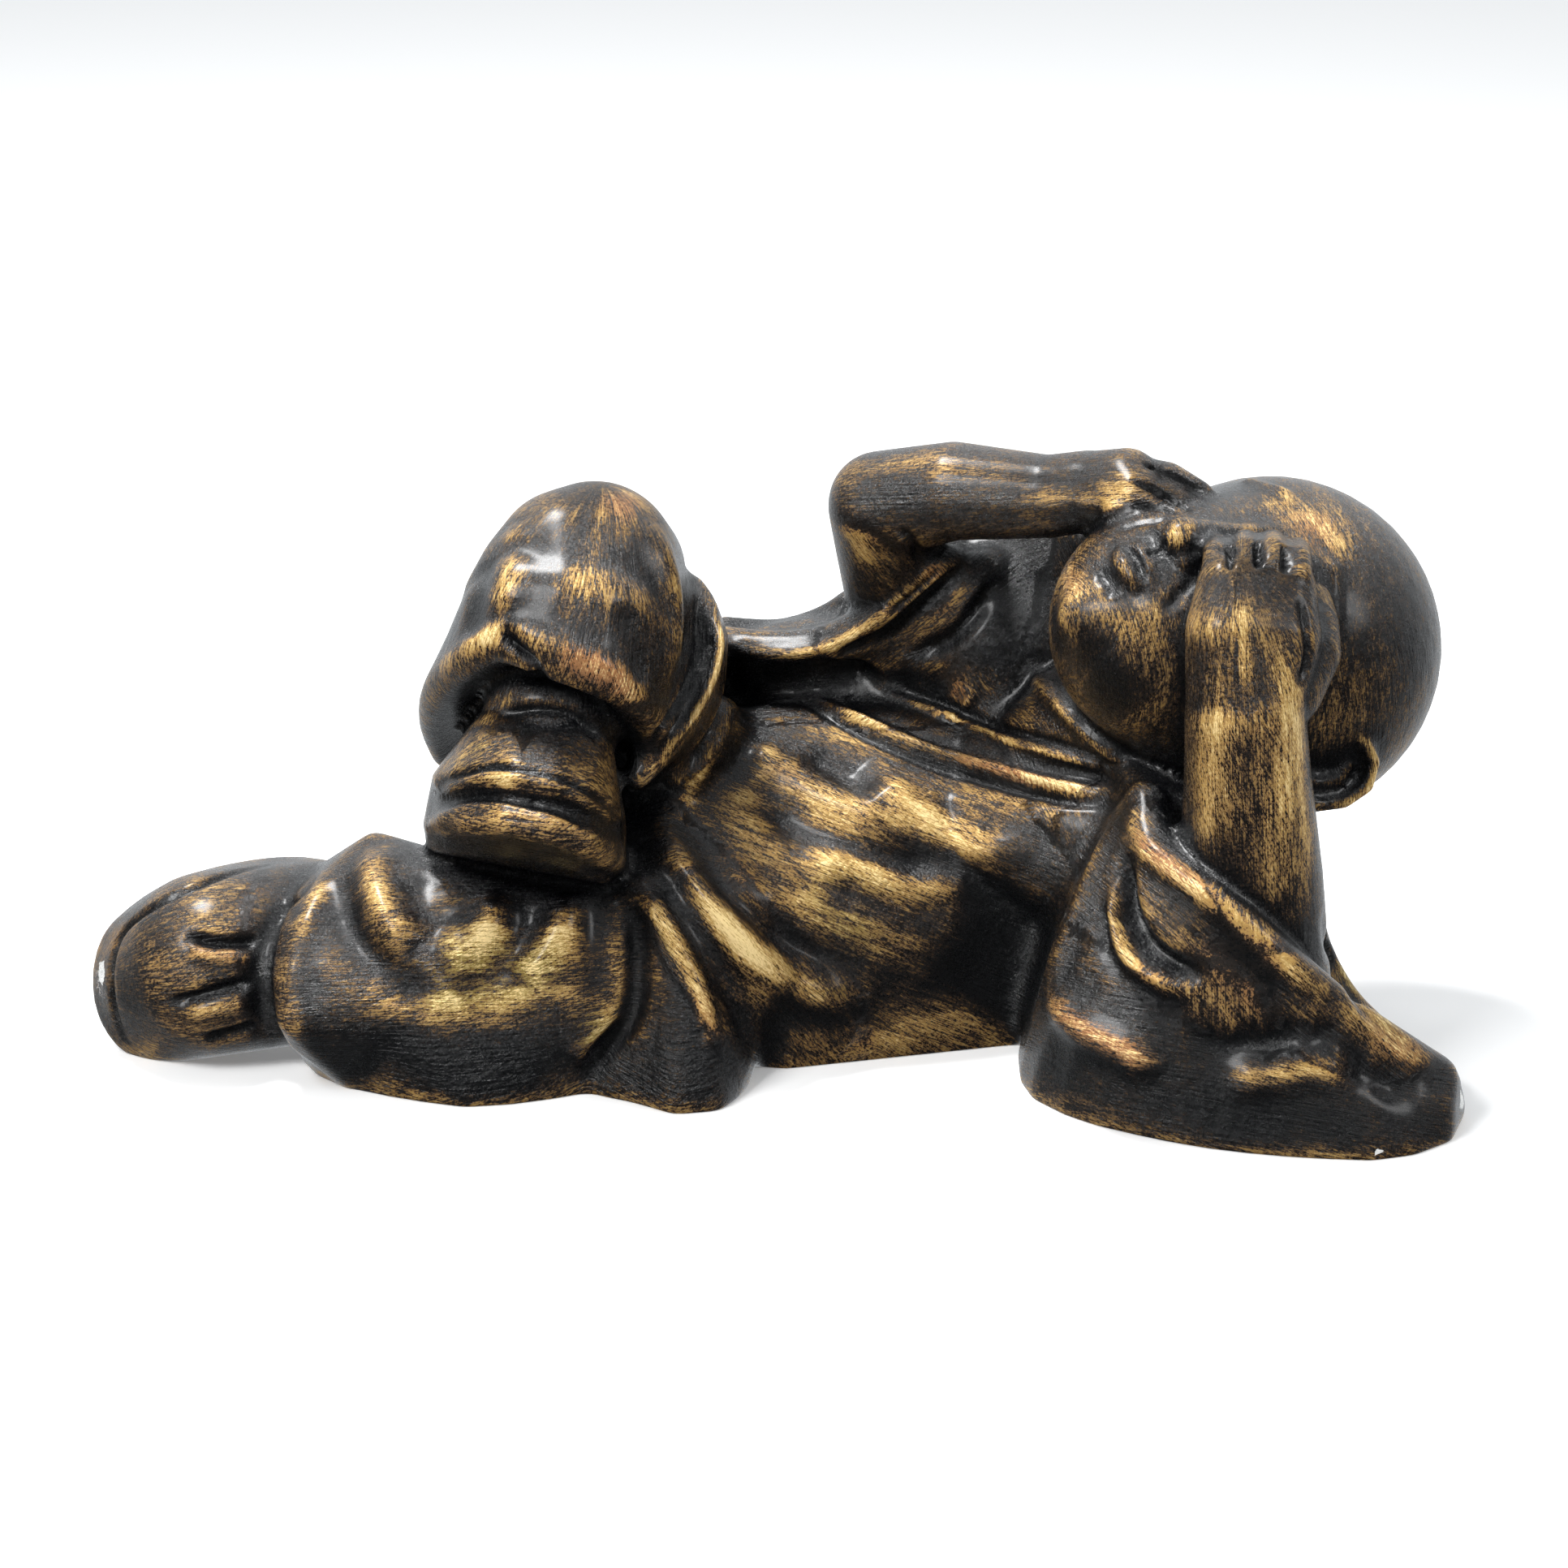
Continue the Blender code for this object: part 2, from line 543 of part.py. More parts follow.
def carve_shoe(skin):
    skin.mark([(-129.9, 30.8), (-113.8, 33.8), (-96.5, 31.6), (-82.6, 19.8)], 2.6, -2.4)
    skin.mark(
        [
            (-157.8, -3.3), (-151.9, 2.2), (-134.3, 7.7), (-116, 6.6), (-97.6, 1.5), (-82.2, -7.3),
            (-74.1, -16.9),
        ],
        2.4, -3,
    )
    skin.mark(
        [(-157.1, -7), (-149, -0.7), (-134.3, 4), (-116, 2.9), (-97.6, -2.6), (-82.9, -11.7)], 3,
        1.4,
    )
    skin.mark(
        [
            (-161.5, -18.4), (-149, -12.1), (-134.3, -9.9), (-116, -13.2), (-97.6, -19.8),
            (-82.2, -29.7),
        ],
        3, 1.6,
    )


def carve_near_leg(skin):
    skin.mark(
        [(-203.3, -37.4), (-213.2, -54.7), (-220.2, -74.9), (-220.9, -96.9), (-216.5, -118.9)], 6,
        2.4,
    )
    skin.mark(
        [(-210.7, -41.1), (-225.3, -56.5), (-233.4, -73), (-234.9, -93.2), (-231.9, -118.9)], 4,
        -3,
    )
    skin.mark(
        [(-196, -41.8), (-198.9, -56.5), (-193, -73), (-178.4, -85.9), (-156.3, -100.6)], 9, -4.6,
    )
    skin.mark([(-185, -27.2), (-185, -45.5), (-179.1, -62), (-165.5, -73)], 9, 5)
    skin.mark([(-163.7, -38.2), (-160.7, -56.5), (-149, -67.5)], 10, -2.4)
    skin.mark([(-134.3, -47.3), (-132.1, -60.2), (-139.8, -73), (-156.3, -80.4)], 8, 4.6)
    skin.mark([(-117.4, -49.2), (-116.7, -67.5), (-130.7, -85.9), (-149, -98.7)], 9, -4)
    skin.mark([(-101.3, -49.2), (-99.8, -60.2), (-108.6, -74.9), (-119.6, -89.5)], 10, 4.6)
    skin.mark([(-86.6, -52.8), (-82.9, -74.9), (-84.8, -96.9)], 9, -1.6)
    skin.mark(
        [(-69.7, -52.8), (-66.8, -78.5), (-69.7, -104.2), (-83.7, -122.6), (-89.5, -139.1)], 5, -5,
    )
    skin.mark([(-75.6, -100.6), (-86.6, -115.2), (-97.6, -126.2)], 8, 2)
    skin.mark([(-69.7, -47), (-58, -56.5), (-47.7, -74.9), (-38.2, -95.1), (-32.3, -118.9)], 5, 3)
    skin.mark(
        [(-60.9, -27.2), (-44.4, -52.8), (-29.7, -78.5), (-18.7, -104.2), (-15, -126.2)], 8, -4.5,
    )


def carve_near_foot(skin):
    skin.mark(
        [
            (-229.7, -36), (-248.1, -39.6), (-266.4, -46.2), (-284.8, -55), (-297.6, -65.3),
            (-303.5, -78.5), (-304.2, -93.2), (-301.3, -107.9), (-295.8, -118.2),
        ],
        2.4, -2.6,
    )
    skin.mark([(-230.5, -52.8), (-236.3, -71.2), (-237.1, -91.4), (-234.9, -115.2)], 6, -2.4)
    skin.mark([(-270.8, -68.3), (-258.4, -71.2), (-244.4, -71.2), (-234.1, -69.7)], 3, -4.5)
    skin.mark([(-279.3, -99.5), (-266.4, -96.9), (-251.8, -92.5), (-237.8, -88.8)], 3.2, -4.5)
    skin.mark([(-262, -115.6), (-249.6, -112.3), (-237.8, -109.4)], 2.8, -3.4)
    skin.mark([(-269.4, -74.9), (-255.4, -77.8), (-237.8, -79.3)], 4, 2)
    skin.mark([(-271.9, -104.2), (-255.4, -102), (-240, -99.1)], 4, 1.6)


def carve_chest(skin):
    skin.mark([(-24.2, 22.4), (-5.9, 8.8), (16.1, -4.4), (38.2, -13.6), (58.4, -18)], 10, 5)
    skin.mark([(34.5, 7.7), (52.8, -7), (71.2, -19.8), (91.4, -27.2), (117.1, -26.4)], 11, 6)
    skin.mark([(8.8, 13.2), (27.2, 2.9), (43.7, -7)], 7, -1.8)
    skin.mark([(-16.9, -3.3), (8.8, -19.8), (43.7, -31.6), (80.4, -41.1)], 9, -4.4)
    skin.mark([(8.8, -27.2), (32.7, -36), (56.5, -43.3), (84, -49.2)], 8, 2.8)
    skin.mark([(16.1, -43.7), (45.5, -53.6), (74.9, -60.2)], 9, -2)
    skin.mark([(54.7, 4), (78.5, -7), (104.2, -13.6), (129.9, -15.4)], 7, 2.2)
    skin.mark([(100.6, -41.8), (95.1, -71.2), (78.5, -100.6)], 18, -2.6)
    skin.mark(
        [
            (-60.9, -3.3), (-54.3, -27.2), (-41.8, -48.4), (-24.2, -67.5), (-4, -84), (18, -94),
            (43.7, -96.2),
        ],
        9, 6.5,
    )
    skin.mark([(-38.2, -19.8), (-27.9, -41.8), (-9.5, -62), (12.5, -76.7), (38.2, -84)], 9, -4.5)
    skin.mark([(-24.2, 31.6), (-37.1, 15), (-45.5, -1.5), (-47.7, -19.8)], 10, 4.6)
    # The lapel's two edges, the inner collar and the neckline.
    skin.mark(
        [(7, 41.8), (33.4, 29.4), (63.9, 16.1), (94.3, 7), (124.8, -0.7), (150.8, -3.7)], 3, 3.4,
    )
    skin.mark(
        [(7, 37.4), (33.4, 23.9), (63.9, 9.9), (94.3, 0.7), (124.8, -7), (150.8, -9.5)], 2.8, -3.6,
    )
    skin.mark([(38.2, 34.5), (63.9, 25), (94.3, 13.9), (121.8, 6.2)], 6, 1.4)
    skin.mark(
        [(41.8, 42.6), (63.9, 34.5), (94.3, 22.4), (121.8, 13.9), (140.2, 8.8), (162.9, 1.5)], 2.6,
        2.2,
    )
    skin.mark([(45.5, 45.5), (63.9, 38.9), (94.3, 26.8), (121.8, 18.4), (144.6, 11.7)], 2.4, -2.4)
    skin.mark([(58.7, 41.8), (71.2, 35.2), (79.6, 32.3), (86.6, 44.4)], 2.2, 2.4)
    skin.mark([(108.6, 53.6), (126.2, 34.5), (144.6, 16.9), (166.6, 2.2)], 4, 3.4)


def carve_sleeves(skin):
    skin.mark(
        [(156.3, -12.5), (160.7, -25.3), (174, -36.7), (196, -52.8), (218, -71.9), (247.4, -97.6)],
        6, 3.4,
    )
    skin.mark([(247.4, -97.6), (269.4, -114.1), (295.1, -128.1)], 6, 1.6)
    skin.mark(
        [(156.3, -30.8), (154.1, -49.2), (160.7, -68.3), (174, -80.7), (192.3, -88.1)], 5, -6.5,
    )
    skin.mark(
        [(150.5, -41.8), (151.2, -60.2), (156.3, -77.1), (168.1, -86.6), (188.6, -94)], 4.6, 5,
    )
    skin.mark([(143.9, -52.8), (145.3, -74.9), (154.9, -90.3)], 4, -2.4)
    skin.mark([(150.1, -16.1), (138, -43.7), (127, -73), (119.6, -95.1)], 6, 2.6)
    skin.mark([(117.4, -95.1), (133.6, -108.6), (151.9, -118.2), (171, -130.7)], 9, 4.4)
    skin.mark([(196, -135.4), (218, -132.1), (240, -127), (262, -129.2)], 9, 4)
    skin.mark([(181.3, -118.9), (210.7, -117.1), (240, -113.4)], 9, -3.6)
    skin.mark([(232.7, -106.1), (262, -129.2), (287.7, -141.7)], 8, -3.6)
    skin.mark([(243, -56.5), (248.1, -78.5), (265.7, -106.1), (289.6, -126.2)], 5, -2)
    # The two rolls of the far sleeve.
    skin.mark([(-24.2, 55), (-2.2, 51.4), (23.5, 52.8), (45.5, 47)], 5, -6)
    skin.mark([(23.5, 58.7), (45.5, 67.5), (64.6, 82.9), (82.2, 99.1)], 3.4, -6.5)
    skin.mark([(46.2, 76.3), (60.2, 87.3), (71.9, 98.4)], 2.4, -3)
    skin.mark([(-24.2, 61.7), (-2.2, 58.7), (23.5, 62.8), (43.7, 75.6), (60.2, 89.5)], 3.4, 2.6)
    skin.mark([(56.5, 55.4), (75.6, 66.1), (88.8, 80), (97.6, 93.2)], 4.5, -5)


def carve_hands(skin):
    for across, top, low in ((201.8, 109.4, 96.2), (214.3, 110.8, 96.9), (226.4, 107.9, 94.7)):
        skin.mark([(across, top), (across, low)], 1.5, -4.5, taper=0.3)
    skin.mark([(233.4, 84.8), (237.1, 60.9), (232.7, 42.6)], 2.4, -2)
    skin.mark([(157.1, 138), (170.3, 131.4), (184.2, 123.3)], 1.5, -4)
    skin.mark([(161.5, 145), (177.6, 138.7), (192.3, 131.4)], 1.4, -3)
    skin.mark([(157.4, 126.2), (170.3, 124.8), (178.4, 121.8)], 1.4, -2.5)
    skin.mark([(52.8, 116), (58.7, 107.9), (61.7, 100.6)], 2.4, -2)


def carve_head(skin):
    for side in (-1, 1):
        skin.mark(
            [head(-50, 78, 13 * side), head(-60, 79, 19 * side), head(-72, 76, 25 * side)], 3,
            -1.6,
        )
    skin.mark([head(-75.3, 82, -12), head(-75.3, 88, 0), head(-75.3, 82, 12)], 1.5, -3, taper=0.3)
    skin.mark([head(-62, 92, 0), head(-67, 90, 0)], 1.8, -1.5, taper=0)
    skin.mark([head(-89, 76, -9), head(-88.5, 79, 0), head(-89, 76, 9)], 3, -1.6)


def carve_back(skin):
    # The hidden side is plainer: a few long folds of the robe and the sleeve.
    skin.mark([at(-60, 145, 90), at(0, 150, 70), at(70, 158, 60), at(130, 150, 70)], 8, 3)
    skin.mark([at(-40, 150, 50), at(30, 155, 35), at(100, 158, 25)], 8, 3)
    skin.mark([at(-60, 140, 70), at(10, 155, 50), at(90, 160, 42)], 7, -2.5)
    skin.mark([at(150, 120, 120), at(165, 90, 70), at(160, 60, 30)], 8, 3)
    skin.mark([at(-100, 100, 120), at(-90, 130, 90), at(-60, 140, 60)], 7, 3)
    skin.mark([at(230, 0, 60), at(250, -30, 30), at(270, -60, 10)], 6, -2)


def build():
    cloth = Forms()
    for add in (add_trunk, add_raised_leg, add_near_leg, add_near_sleeve, add_far_sleeve):
        add(cloth)
    robe = fused(cloth.body("robe"), CLOTH_FILLET, 6)
    whole = Forms()
    whole.take(robe)
    for add in (add_head, add_near_arm, add_far_arm, add_feet):
        add(whole)
    monk = one_body(fused(whole.body("reclining_monk"), SKIN_FILLET, 2))
    skin = Carving(monk)
    for carve in (
        carve_raised_leg, carve_shoe, carve_near_leg, carve_near_foot, carve_chest, carve_sleeves,
        carve_hands, carve_head, carve_back,
    ):
        carve(skin)
    skin.apply()
    return monk


def reduced(thing, facets):
    # Fewer, larger triangles where the skin is plain.
    shape = bmesh.new()
    shape.from_mesh(thing.data)
    bmesh.ops.triangulate(shape, faces=shape.faces)
    share = facets / len(shape.faces)
    shape.to_mesh(thing.data)
    shape.free()
    fewer = thing.modifiers.new("fewer", "DECIMATE")
    fewer.ratio = share
    return settled(thing, thing.name)


def cut_flat(thing):
    # Cuts the figure off at the floor and closes the cut with one flat underside.
    shape = bmesh.new()
    shape.from_mesh(thing.data)
    everything = shape.verts[:] + shape.edges[:] + shape.faces[:]
    bmesh.ops.bisect_plane(
        shape, geom=everything, plane_co=(0, 0, 0), plane_no=(0, 0, -1), clear_outer=True,
    )
    bmesh.ops.remove_doubles(shape, verts=shape.verts, dist=WELD)
    rim = [edge for edge in shape.edges if edge.is_boundary]
    bmesh.ops.triangle_fill(shape, edges=rim, use_beauty=True, normal=(0, 0, -1))
    bmesh.ops.recalc_face_normals(shape, faces=shape.faces)
    low = [min(spot.co[axis] for spot in shape.verts) for axis in range(3)]
    high = [max(spot.co[axis] for spot in shape.verts) for axis in range(3)]
    middle = Vector(((low[0] + high[0]) / 2, (low[1] + high[1]) / 2, low[2]))
    bmesh.ops.translate(shape, verts=shape.verts, vec=-middle)
    shape.to_mesh(thing.data)
    shape.free()


def painted(thing):
    paint = bpy.data.materials.new("bronzed_patina")
    paint.use_nodes = True
    shader = paint.node_tree.nodes["Principled BSDF"]
    shader.inputs["Base Color"].default_value = (0.075, 0.058, 0.036, 1)
    shader.inputs["Metallic"].default_value = 0.0
    shader.inputs["Roughness"].default_value = 0.42
    thing.data.materials.append(paint)


monk = reduced(build(), FACETS)
cut_flat(monk)
painted(monk)
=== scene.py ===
# Reclining monk garden figure: fine relief, dry-brushed patina, studio.
import math

import bmesh
import bpy
import numpy as np
from mathutils import Matrix, Vector
from mathutils.bvhtree import BVHTree


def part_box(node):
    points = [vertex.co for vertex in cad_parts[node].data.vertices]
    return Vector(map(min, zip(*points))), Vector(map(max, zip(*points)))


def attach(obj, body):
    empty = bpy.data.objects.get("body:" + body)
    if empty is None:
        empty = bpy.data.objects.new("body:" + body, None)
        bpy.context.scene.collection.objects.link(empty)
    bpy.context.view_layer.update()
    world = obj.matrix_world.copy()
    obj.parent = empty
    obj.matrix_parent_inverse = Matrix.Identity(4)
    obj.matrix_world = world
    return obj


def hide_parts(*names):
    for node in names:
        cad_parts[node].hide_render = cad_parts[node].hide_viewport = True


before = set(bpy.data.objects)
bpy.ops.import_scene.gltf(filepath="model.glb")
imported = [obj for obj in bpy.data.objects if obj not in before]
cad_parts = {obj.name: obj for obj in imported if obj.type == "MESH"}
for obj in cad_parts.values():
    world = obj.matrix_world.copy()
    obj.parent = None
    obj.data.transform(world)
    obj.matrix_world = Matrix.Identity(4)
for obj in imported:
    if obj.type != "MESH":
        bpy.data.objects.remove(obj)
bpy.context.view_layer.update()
cadLow, cadHigh = [Vector(corner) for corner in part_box("reclining_monk")]
print("frame loaded")

# Places and radii are in steps; a step is one 620th of the figure's length.
monk = {
    "length": 0.62,
    "stepsLong": 620,
    "cell": 1.45,            # skin cell while modelling
    "clothFillet": 6.0,
    "skinFillet": 1.6,
    "triangles": 194000,
    "weld": 0.0001,
    "skullAt": (220, 30, 183),
    "crownWay": (0.93, 0.33, 0.16),
    "faceWay": (0.03, -0.50, 0.865),
    "earFlare": math.radians(35),
    "relief": 1.15,          # how strongly folds stand out
}
step = monk["length"] / monk["stepsLong"]

# The drawing that places are read from: an eye in front, looking down a little.
view = {"distance": 1900, "slope": math.radians(20), "aim": 128, "lens": 96.5, "sensor": 36}

forward = Vector((0, math.cos(view["slope"]), -math.sin(view["slope"])))
upward = Vector((0, math.sin(view["slope"]), math.cos(view["slope"])))
aim = Vector((0, 0, view["aim"]))
eye = aim - forward * view["distance"]

crown = Vector(monk["crownWay"]).normalized()
face = Vector(monk["faceWay"])
face = (face - crown * face.dot(crown)).normalized()
nearSide = crown.cross(face)


def at(x, y, z):
    return Vector((x, y, z))


def seen(across, up, depth):  # what the drawing shows there, at this depth
    way = aim + Vector((across, 0, 0)) + upward * up - eye
    return eye + way * ((depth - eye.y) / way.y)


def ground(across, up, lift=4):  # what the drawing shows there, on the floor
    way = aim + Vector((across, 0, 0)) + upward * up - eye
    spot = eye - way * (eye.z / way.z)
    return Vector((spot.x, spot.y, lift))


def head(toCrown, toFace, toNear):  # measured from the middle of the skull
    return Vector(monk["skullAt"]) + crown * toCrown + face * toFace + nearSide * toNear


def lobe(toCrown, toFace, toNear, radius):
    return head(toCrown, toFace, toNear), radius


def ear(up, back, out, side):  # measured from the middle of an ear
    flare = monk["earFlare"]
    away = nearSide * side
    rear = away * math.sin(flare) - face * math.cos(flare)
    outer = away * math.cos(flare) + face * math.sin(flare)
    return head(-11, 5, 76 * side) + crown * up + rear * back + outer * out


def curve(points, gap):
    # a smooth run through the points, sampled about every gap
    knots = [2 * points[0] - points[1], *points, 2 * points[-1] - points[-2]]
    found = []
    for before, start, end, after in zip(knots, knots[1:], knots[2:], knots[3:]):
        count = max(2, int(np.linalg.norm(end - start) / gap) + 1)
        for share in np.arange(count) / count:
            line = 2 * start + (end - before) * share
            bend = (2 * before - 5 * start + 4 * end - after) * share ** 2
            twist = (3 * start - before - 3 * end + after) * share ** 3
            found.append((line + bend + twist) / 2)
    found.append(points[-1])
    return np.array(found)


def run(count, *balls):
    # this many balls evenly along a smooth run through the given ones
    line = curve([np.array((*middle, radius)) for middle, radius in balls], 1.0)
    picks = np.linspace(0, len(line) - 1, count).round().astype(int)
    return [(Vector(line[pick][:3]), line[pick][3]) for pick in picks]


class Forms:
    # rounded lumps, each the hull of a few balls given as (middle, radius)
    def __init__(self):
        self.shape = bmesh.new()

    def lump(self, *balls):
        one = bmesh.new()
        for middle, radius in balls:
            rings = 4 if radius > 22 else 3 if radius > 6 else 2
            place = Matrix.Translation(middle * step)
            bmesh.ops.create_icosphere(one, subdivisions=rings, radius=radius * step, matrix=place)
        bmesh.ops.delete(one, geom=one.edges[:], context="EDGES_FACES")
        found = bmesh.ops.convex_hull(one, input=one.verts)
        inner = set(found["geom_interior"]) | set(found["geom_unused"])
        spare = [part for part in inner if isinstance(part, bmesh.types.BMVert)]
        bmesh.ops.delete(one, geom=spare, context="VERTS")
        bmesh.ops.recalc_face_normals(one, faces=one.faces)
        mesh = bpy.data.meshes.new("lump")
        one.to_mesh(mesh)
        one.free()
        self.shape.from_mesh(mesh)
        bpy.data.meshes.remove(mesh)

    def limb(self, *balls):
        for first, second in zip(balls, balls[1:]):
            self.lump(first, second)

    def loft(self, first, second, *core):
        # a skin from one run of balls to another, filled towards the core
        for balls in zip(first, first[1:], second, second[1:]):
            self.lump(*balls, *core)

    def take(self, thing):
        self.shape.from_mesh(thing.data)
        bpy.data.objects.remove(thing)

    def body(self, name):
        mesh = bpy.data.meshes.new(name)
        self.shape.to_mesh(mesh)
        self.shape.free()
        thing = bpy.data.objects.new(name, mesh)
        bpy.context.scene.collection.objects.link(thing)
        return thing


def addSkin(thing):
    skin = thing.modifiers.new("skin", "REMESH")
    skin.mode = "VOXEL"
    skin.voxel_size = monk["cell"] * step


def addPush(thing, steps):
    push = thing.modifiers.new("push", "DISPLACE")
    push.mid_level = 0
    push.strength = steps * step


def fused(thing, fillet, soften):
    # one skin over the lumps; swollen and shrunk again, its inner corners come out round
    name = thing.name
    addSkin(thing)
    addPush(thing, fillet)
    addSkin(thing)
    addPush(thing, -fillet)
    ease = thing.modifiers.new("ease", "SMOOTH")
    ease.factor = 0.5
    ease.iterations = soften
    return settled(thing, name)


def oneBody(thing):
    # keeps the largest body; anything shut inside it or loose beside it goes
    shape = bmesh.new()
    shape.from_mesh(thing.data)
    waiting = set(shape.verts)
    bodies = []
    while waiting:
        body = set()
        edgeOfBody = [waiting.pop()]
        while edgeOfBody:
            spot = edgeOfBody.pop()
            body.add(spot)
            for edge in spot.link_edges:
                other = edge.other_vert(spot)
                if other in waiting:
                    waiting.remove(other)
                    edgeOfBody.append(other)
        bodies.append(body)
    largest = max(bodies, key=len)
    spare = [spot for spot in shape.verts if spot not in largest]
    bmesh.ops.delete(shape, geom=spare, context="VERTS")
    shape.to_mesh(thing.data)
    shape.free()
    return thing


def settled(thing, name):
    # the thing with its modifiers applied
    graph = bpy.context.evaluated_depsgraph_get()
    mesh = bpy.data.meshes.new_from_object(thing.evaluated_get(graph), depsgraph=graph)
    bpy.data.objects.remove(thing)
    done = bpy.data.objects.new(name, mesh)
    bpy.context.scene.collection.objects.link(done)
    return done


def addTrunk(cloth):
    cloth.lump(
        (at(100, 47, 50), 54), (at(0, 24, 50), 54), (at(115, 80, 88), 56), (at(0, 75, 84), 56),
        (at(100, 105, 50), 50), (at(0, 95, 50), 50), (at(100, 12, 2), 14), (at(0, -14, 2), 14),
    )
    cloth.lump(
        (at(145, 5, 98), 38), (at(100, 50, 80), 50), (at(125, 85, 110), 45),
        (at(105, 105, 130), 40),
    )
    cloth.lump(
        (at(0, 24, 50), 54), (at(0, 75, 84), 54), (at(-55, 20, 58), 56), (at(-55, 85, 75), 56),
        (at(-30, 90, 50), 50),
    )


def addRaisedLeg(cloth):
    cloth.lump((at(-55, 75, 85), 50), (seen(-82.9, 90.3, 10), 36), (seen(-64.6, 60.9, 35), 30))
    # the shin and the knee under their cloth
    cloth.lump(
        (seen(-85.5, 99.5, 0), 37), (seen(-97.6, 99.8, -8), 33), (seen(-110.5, 91.8, -12), 28),
        (seen(-118.9, 81.1, -10), 26), (seen(-122.6, 71.2, -5), 24), (seen(-73.4, 84.8, -15), 25),
        (seen(-67.5, 64.6, -22), 21), (seen(-97.6, 81.1, -36), 24), (seen(-97.6, 75.6, 50), 30),
        (seen(-77.4, 95.8, 25), 33), (seen(-117.4, 70.1, 35), 25),
    )
    # the trouser leg opens like a bell over the shoe
    hem = run(
        22, (seen(-151.9, 14.7, 38), 8), (seen(-156, 25.3, 22), 8.5), (seen(-156.3, 36.7, 2), 9),
        (seen(-151.9, 47, -18), 9), (seen(-141.7, 57.3, -38), 9), (seen(-127, 64.6, -52), 9),
        (seen(-111.6, 58.7, -60), 9), (seen(-94, 52.8, -64), 9), (seen(-77.4, 45.9, -60), 9),
        (seen(-65.7, 37.4, -48), 9), (seen(-59.8, 28.6, -32), 9),
    )
    yoke = run(
        22, (seen(-131.4, 35.2, 55), 19), (seen(-133.6, 47, 35), 20), (seen(-132.1, 58, 10), 21),
        (seen(-128.4, 66.4, -8), 22), (seen(-123.3, 72.7, -18), 24), (seen(-116, 79.3, -30), 25),
        (seen(-101.3, 81.1, -37), 24), (seen(-88.4, 79.3, -38), 23), (seen(-77.4, 73.8, -34), 22),
        (seen(-70.1, 64.6, -24), 22), (seen(-66.4, 51.7, -5), 22),
    )
    cloth.loft(hem, yoke)
    cloth.lump(
        (seen(-131.4, 35.2, 55), 19), (seen(-140.9, 23.1, 50), 15), (seen(-97.6, 38.9, 60), 30),
    )
    cloth.lump(hem[-1], hem[-4], yoke[-1], (seen(-56.5, 32.3, 0), 16), (seen(-58.7, 22.4, -8), 12))
    # the robe's hem band round the thigh
    band = run(
        14, (seen(-41.5, 89.5, 36), 5.5), (seen(-35.6, 80.7, 26), 5.5),
        (seen(-32.7, 67.5, 14), 5.5), (seen(-33.4, 53.6, 3), 5.5), (seen(-38.2, 39.6, -8), 5.5),
        (seen(-45.9, 26.8, -17), 5.5), (seen(-55.8, 14.7, -24), 5.5), (seen(-66.1, 2.9, -30), 5.5),
    )
    cloth.loft(band, band[1:] + band[-1:], (seen(-48.1, 42.6, 35), 22), (seen(-42.6, 64.6, 60), 18))


def addNearLeg(cloth):
    foot = run(
        9, (ground(-207, -123.3), 12), (ground(-201.5, -128.8), 12), (ground(-187.5, -134), 12),
        (ground(-163.7, -138.4), 12), (ground(-140.6, -141.3), 12), (ground(-116, -139.1), 12),
        (ground(-93.2, -135.4), 12),
    )
    cuff = run(
        9, (seen(-205.9, -41.8, 18), 7), (seen(-215.1, -53.9, -18), 7),
        (seen(-221.7, -71.2, -42), 7), (seen(-223.9, -91.4, -56), 7),
        (seen(-220.9, -109.7, -60), 7), (ground(-207, -123.3), 10),
    )
    cloth.lump((at(-45, 0, 50), 55), (at(-105, -10, 46), 52))
    cloth.lump((at(-105, -14, 46), 52), (at(-165, -16, 46), 53), *foot)
    cloth.lump(
        (at(-165, -16, 46), 53), (at(-195, 4, 44), 42), *cuff, (seen(-184.6, -29.4, 0), 8),
        foot[2],
    )
    # the skirt's fall between the leg and the trunk
    fall = run(
        7, (ground(-76.3, -137.6), 11), (ground(-60.9, -140.2), 12), (ground(-45.5, -144.6), 12),
        (ground(-34.5, -142.8), 12), (ground(-26.8, -135.1), 12),
    )
    crest = run(
        7, (seen(-67.9, -48.4, -36), 7), (seen(-56.5, -60.2, -44), 7), (seen(-47, -78.5, -52), 8),
        (seen(-39.6, -96.9, -58), 8), (seen(-35.6, -115.2, -62), 9),
    )
    cloth.loft(crest, fall, (at(-35, 0, 50), 38))


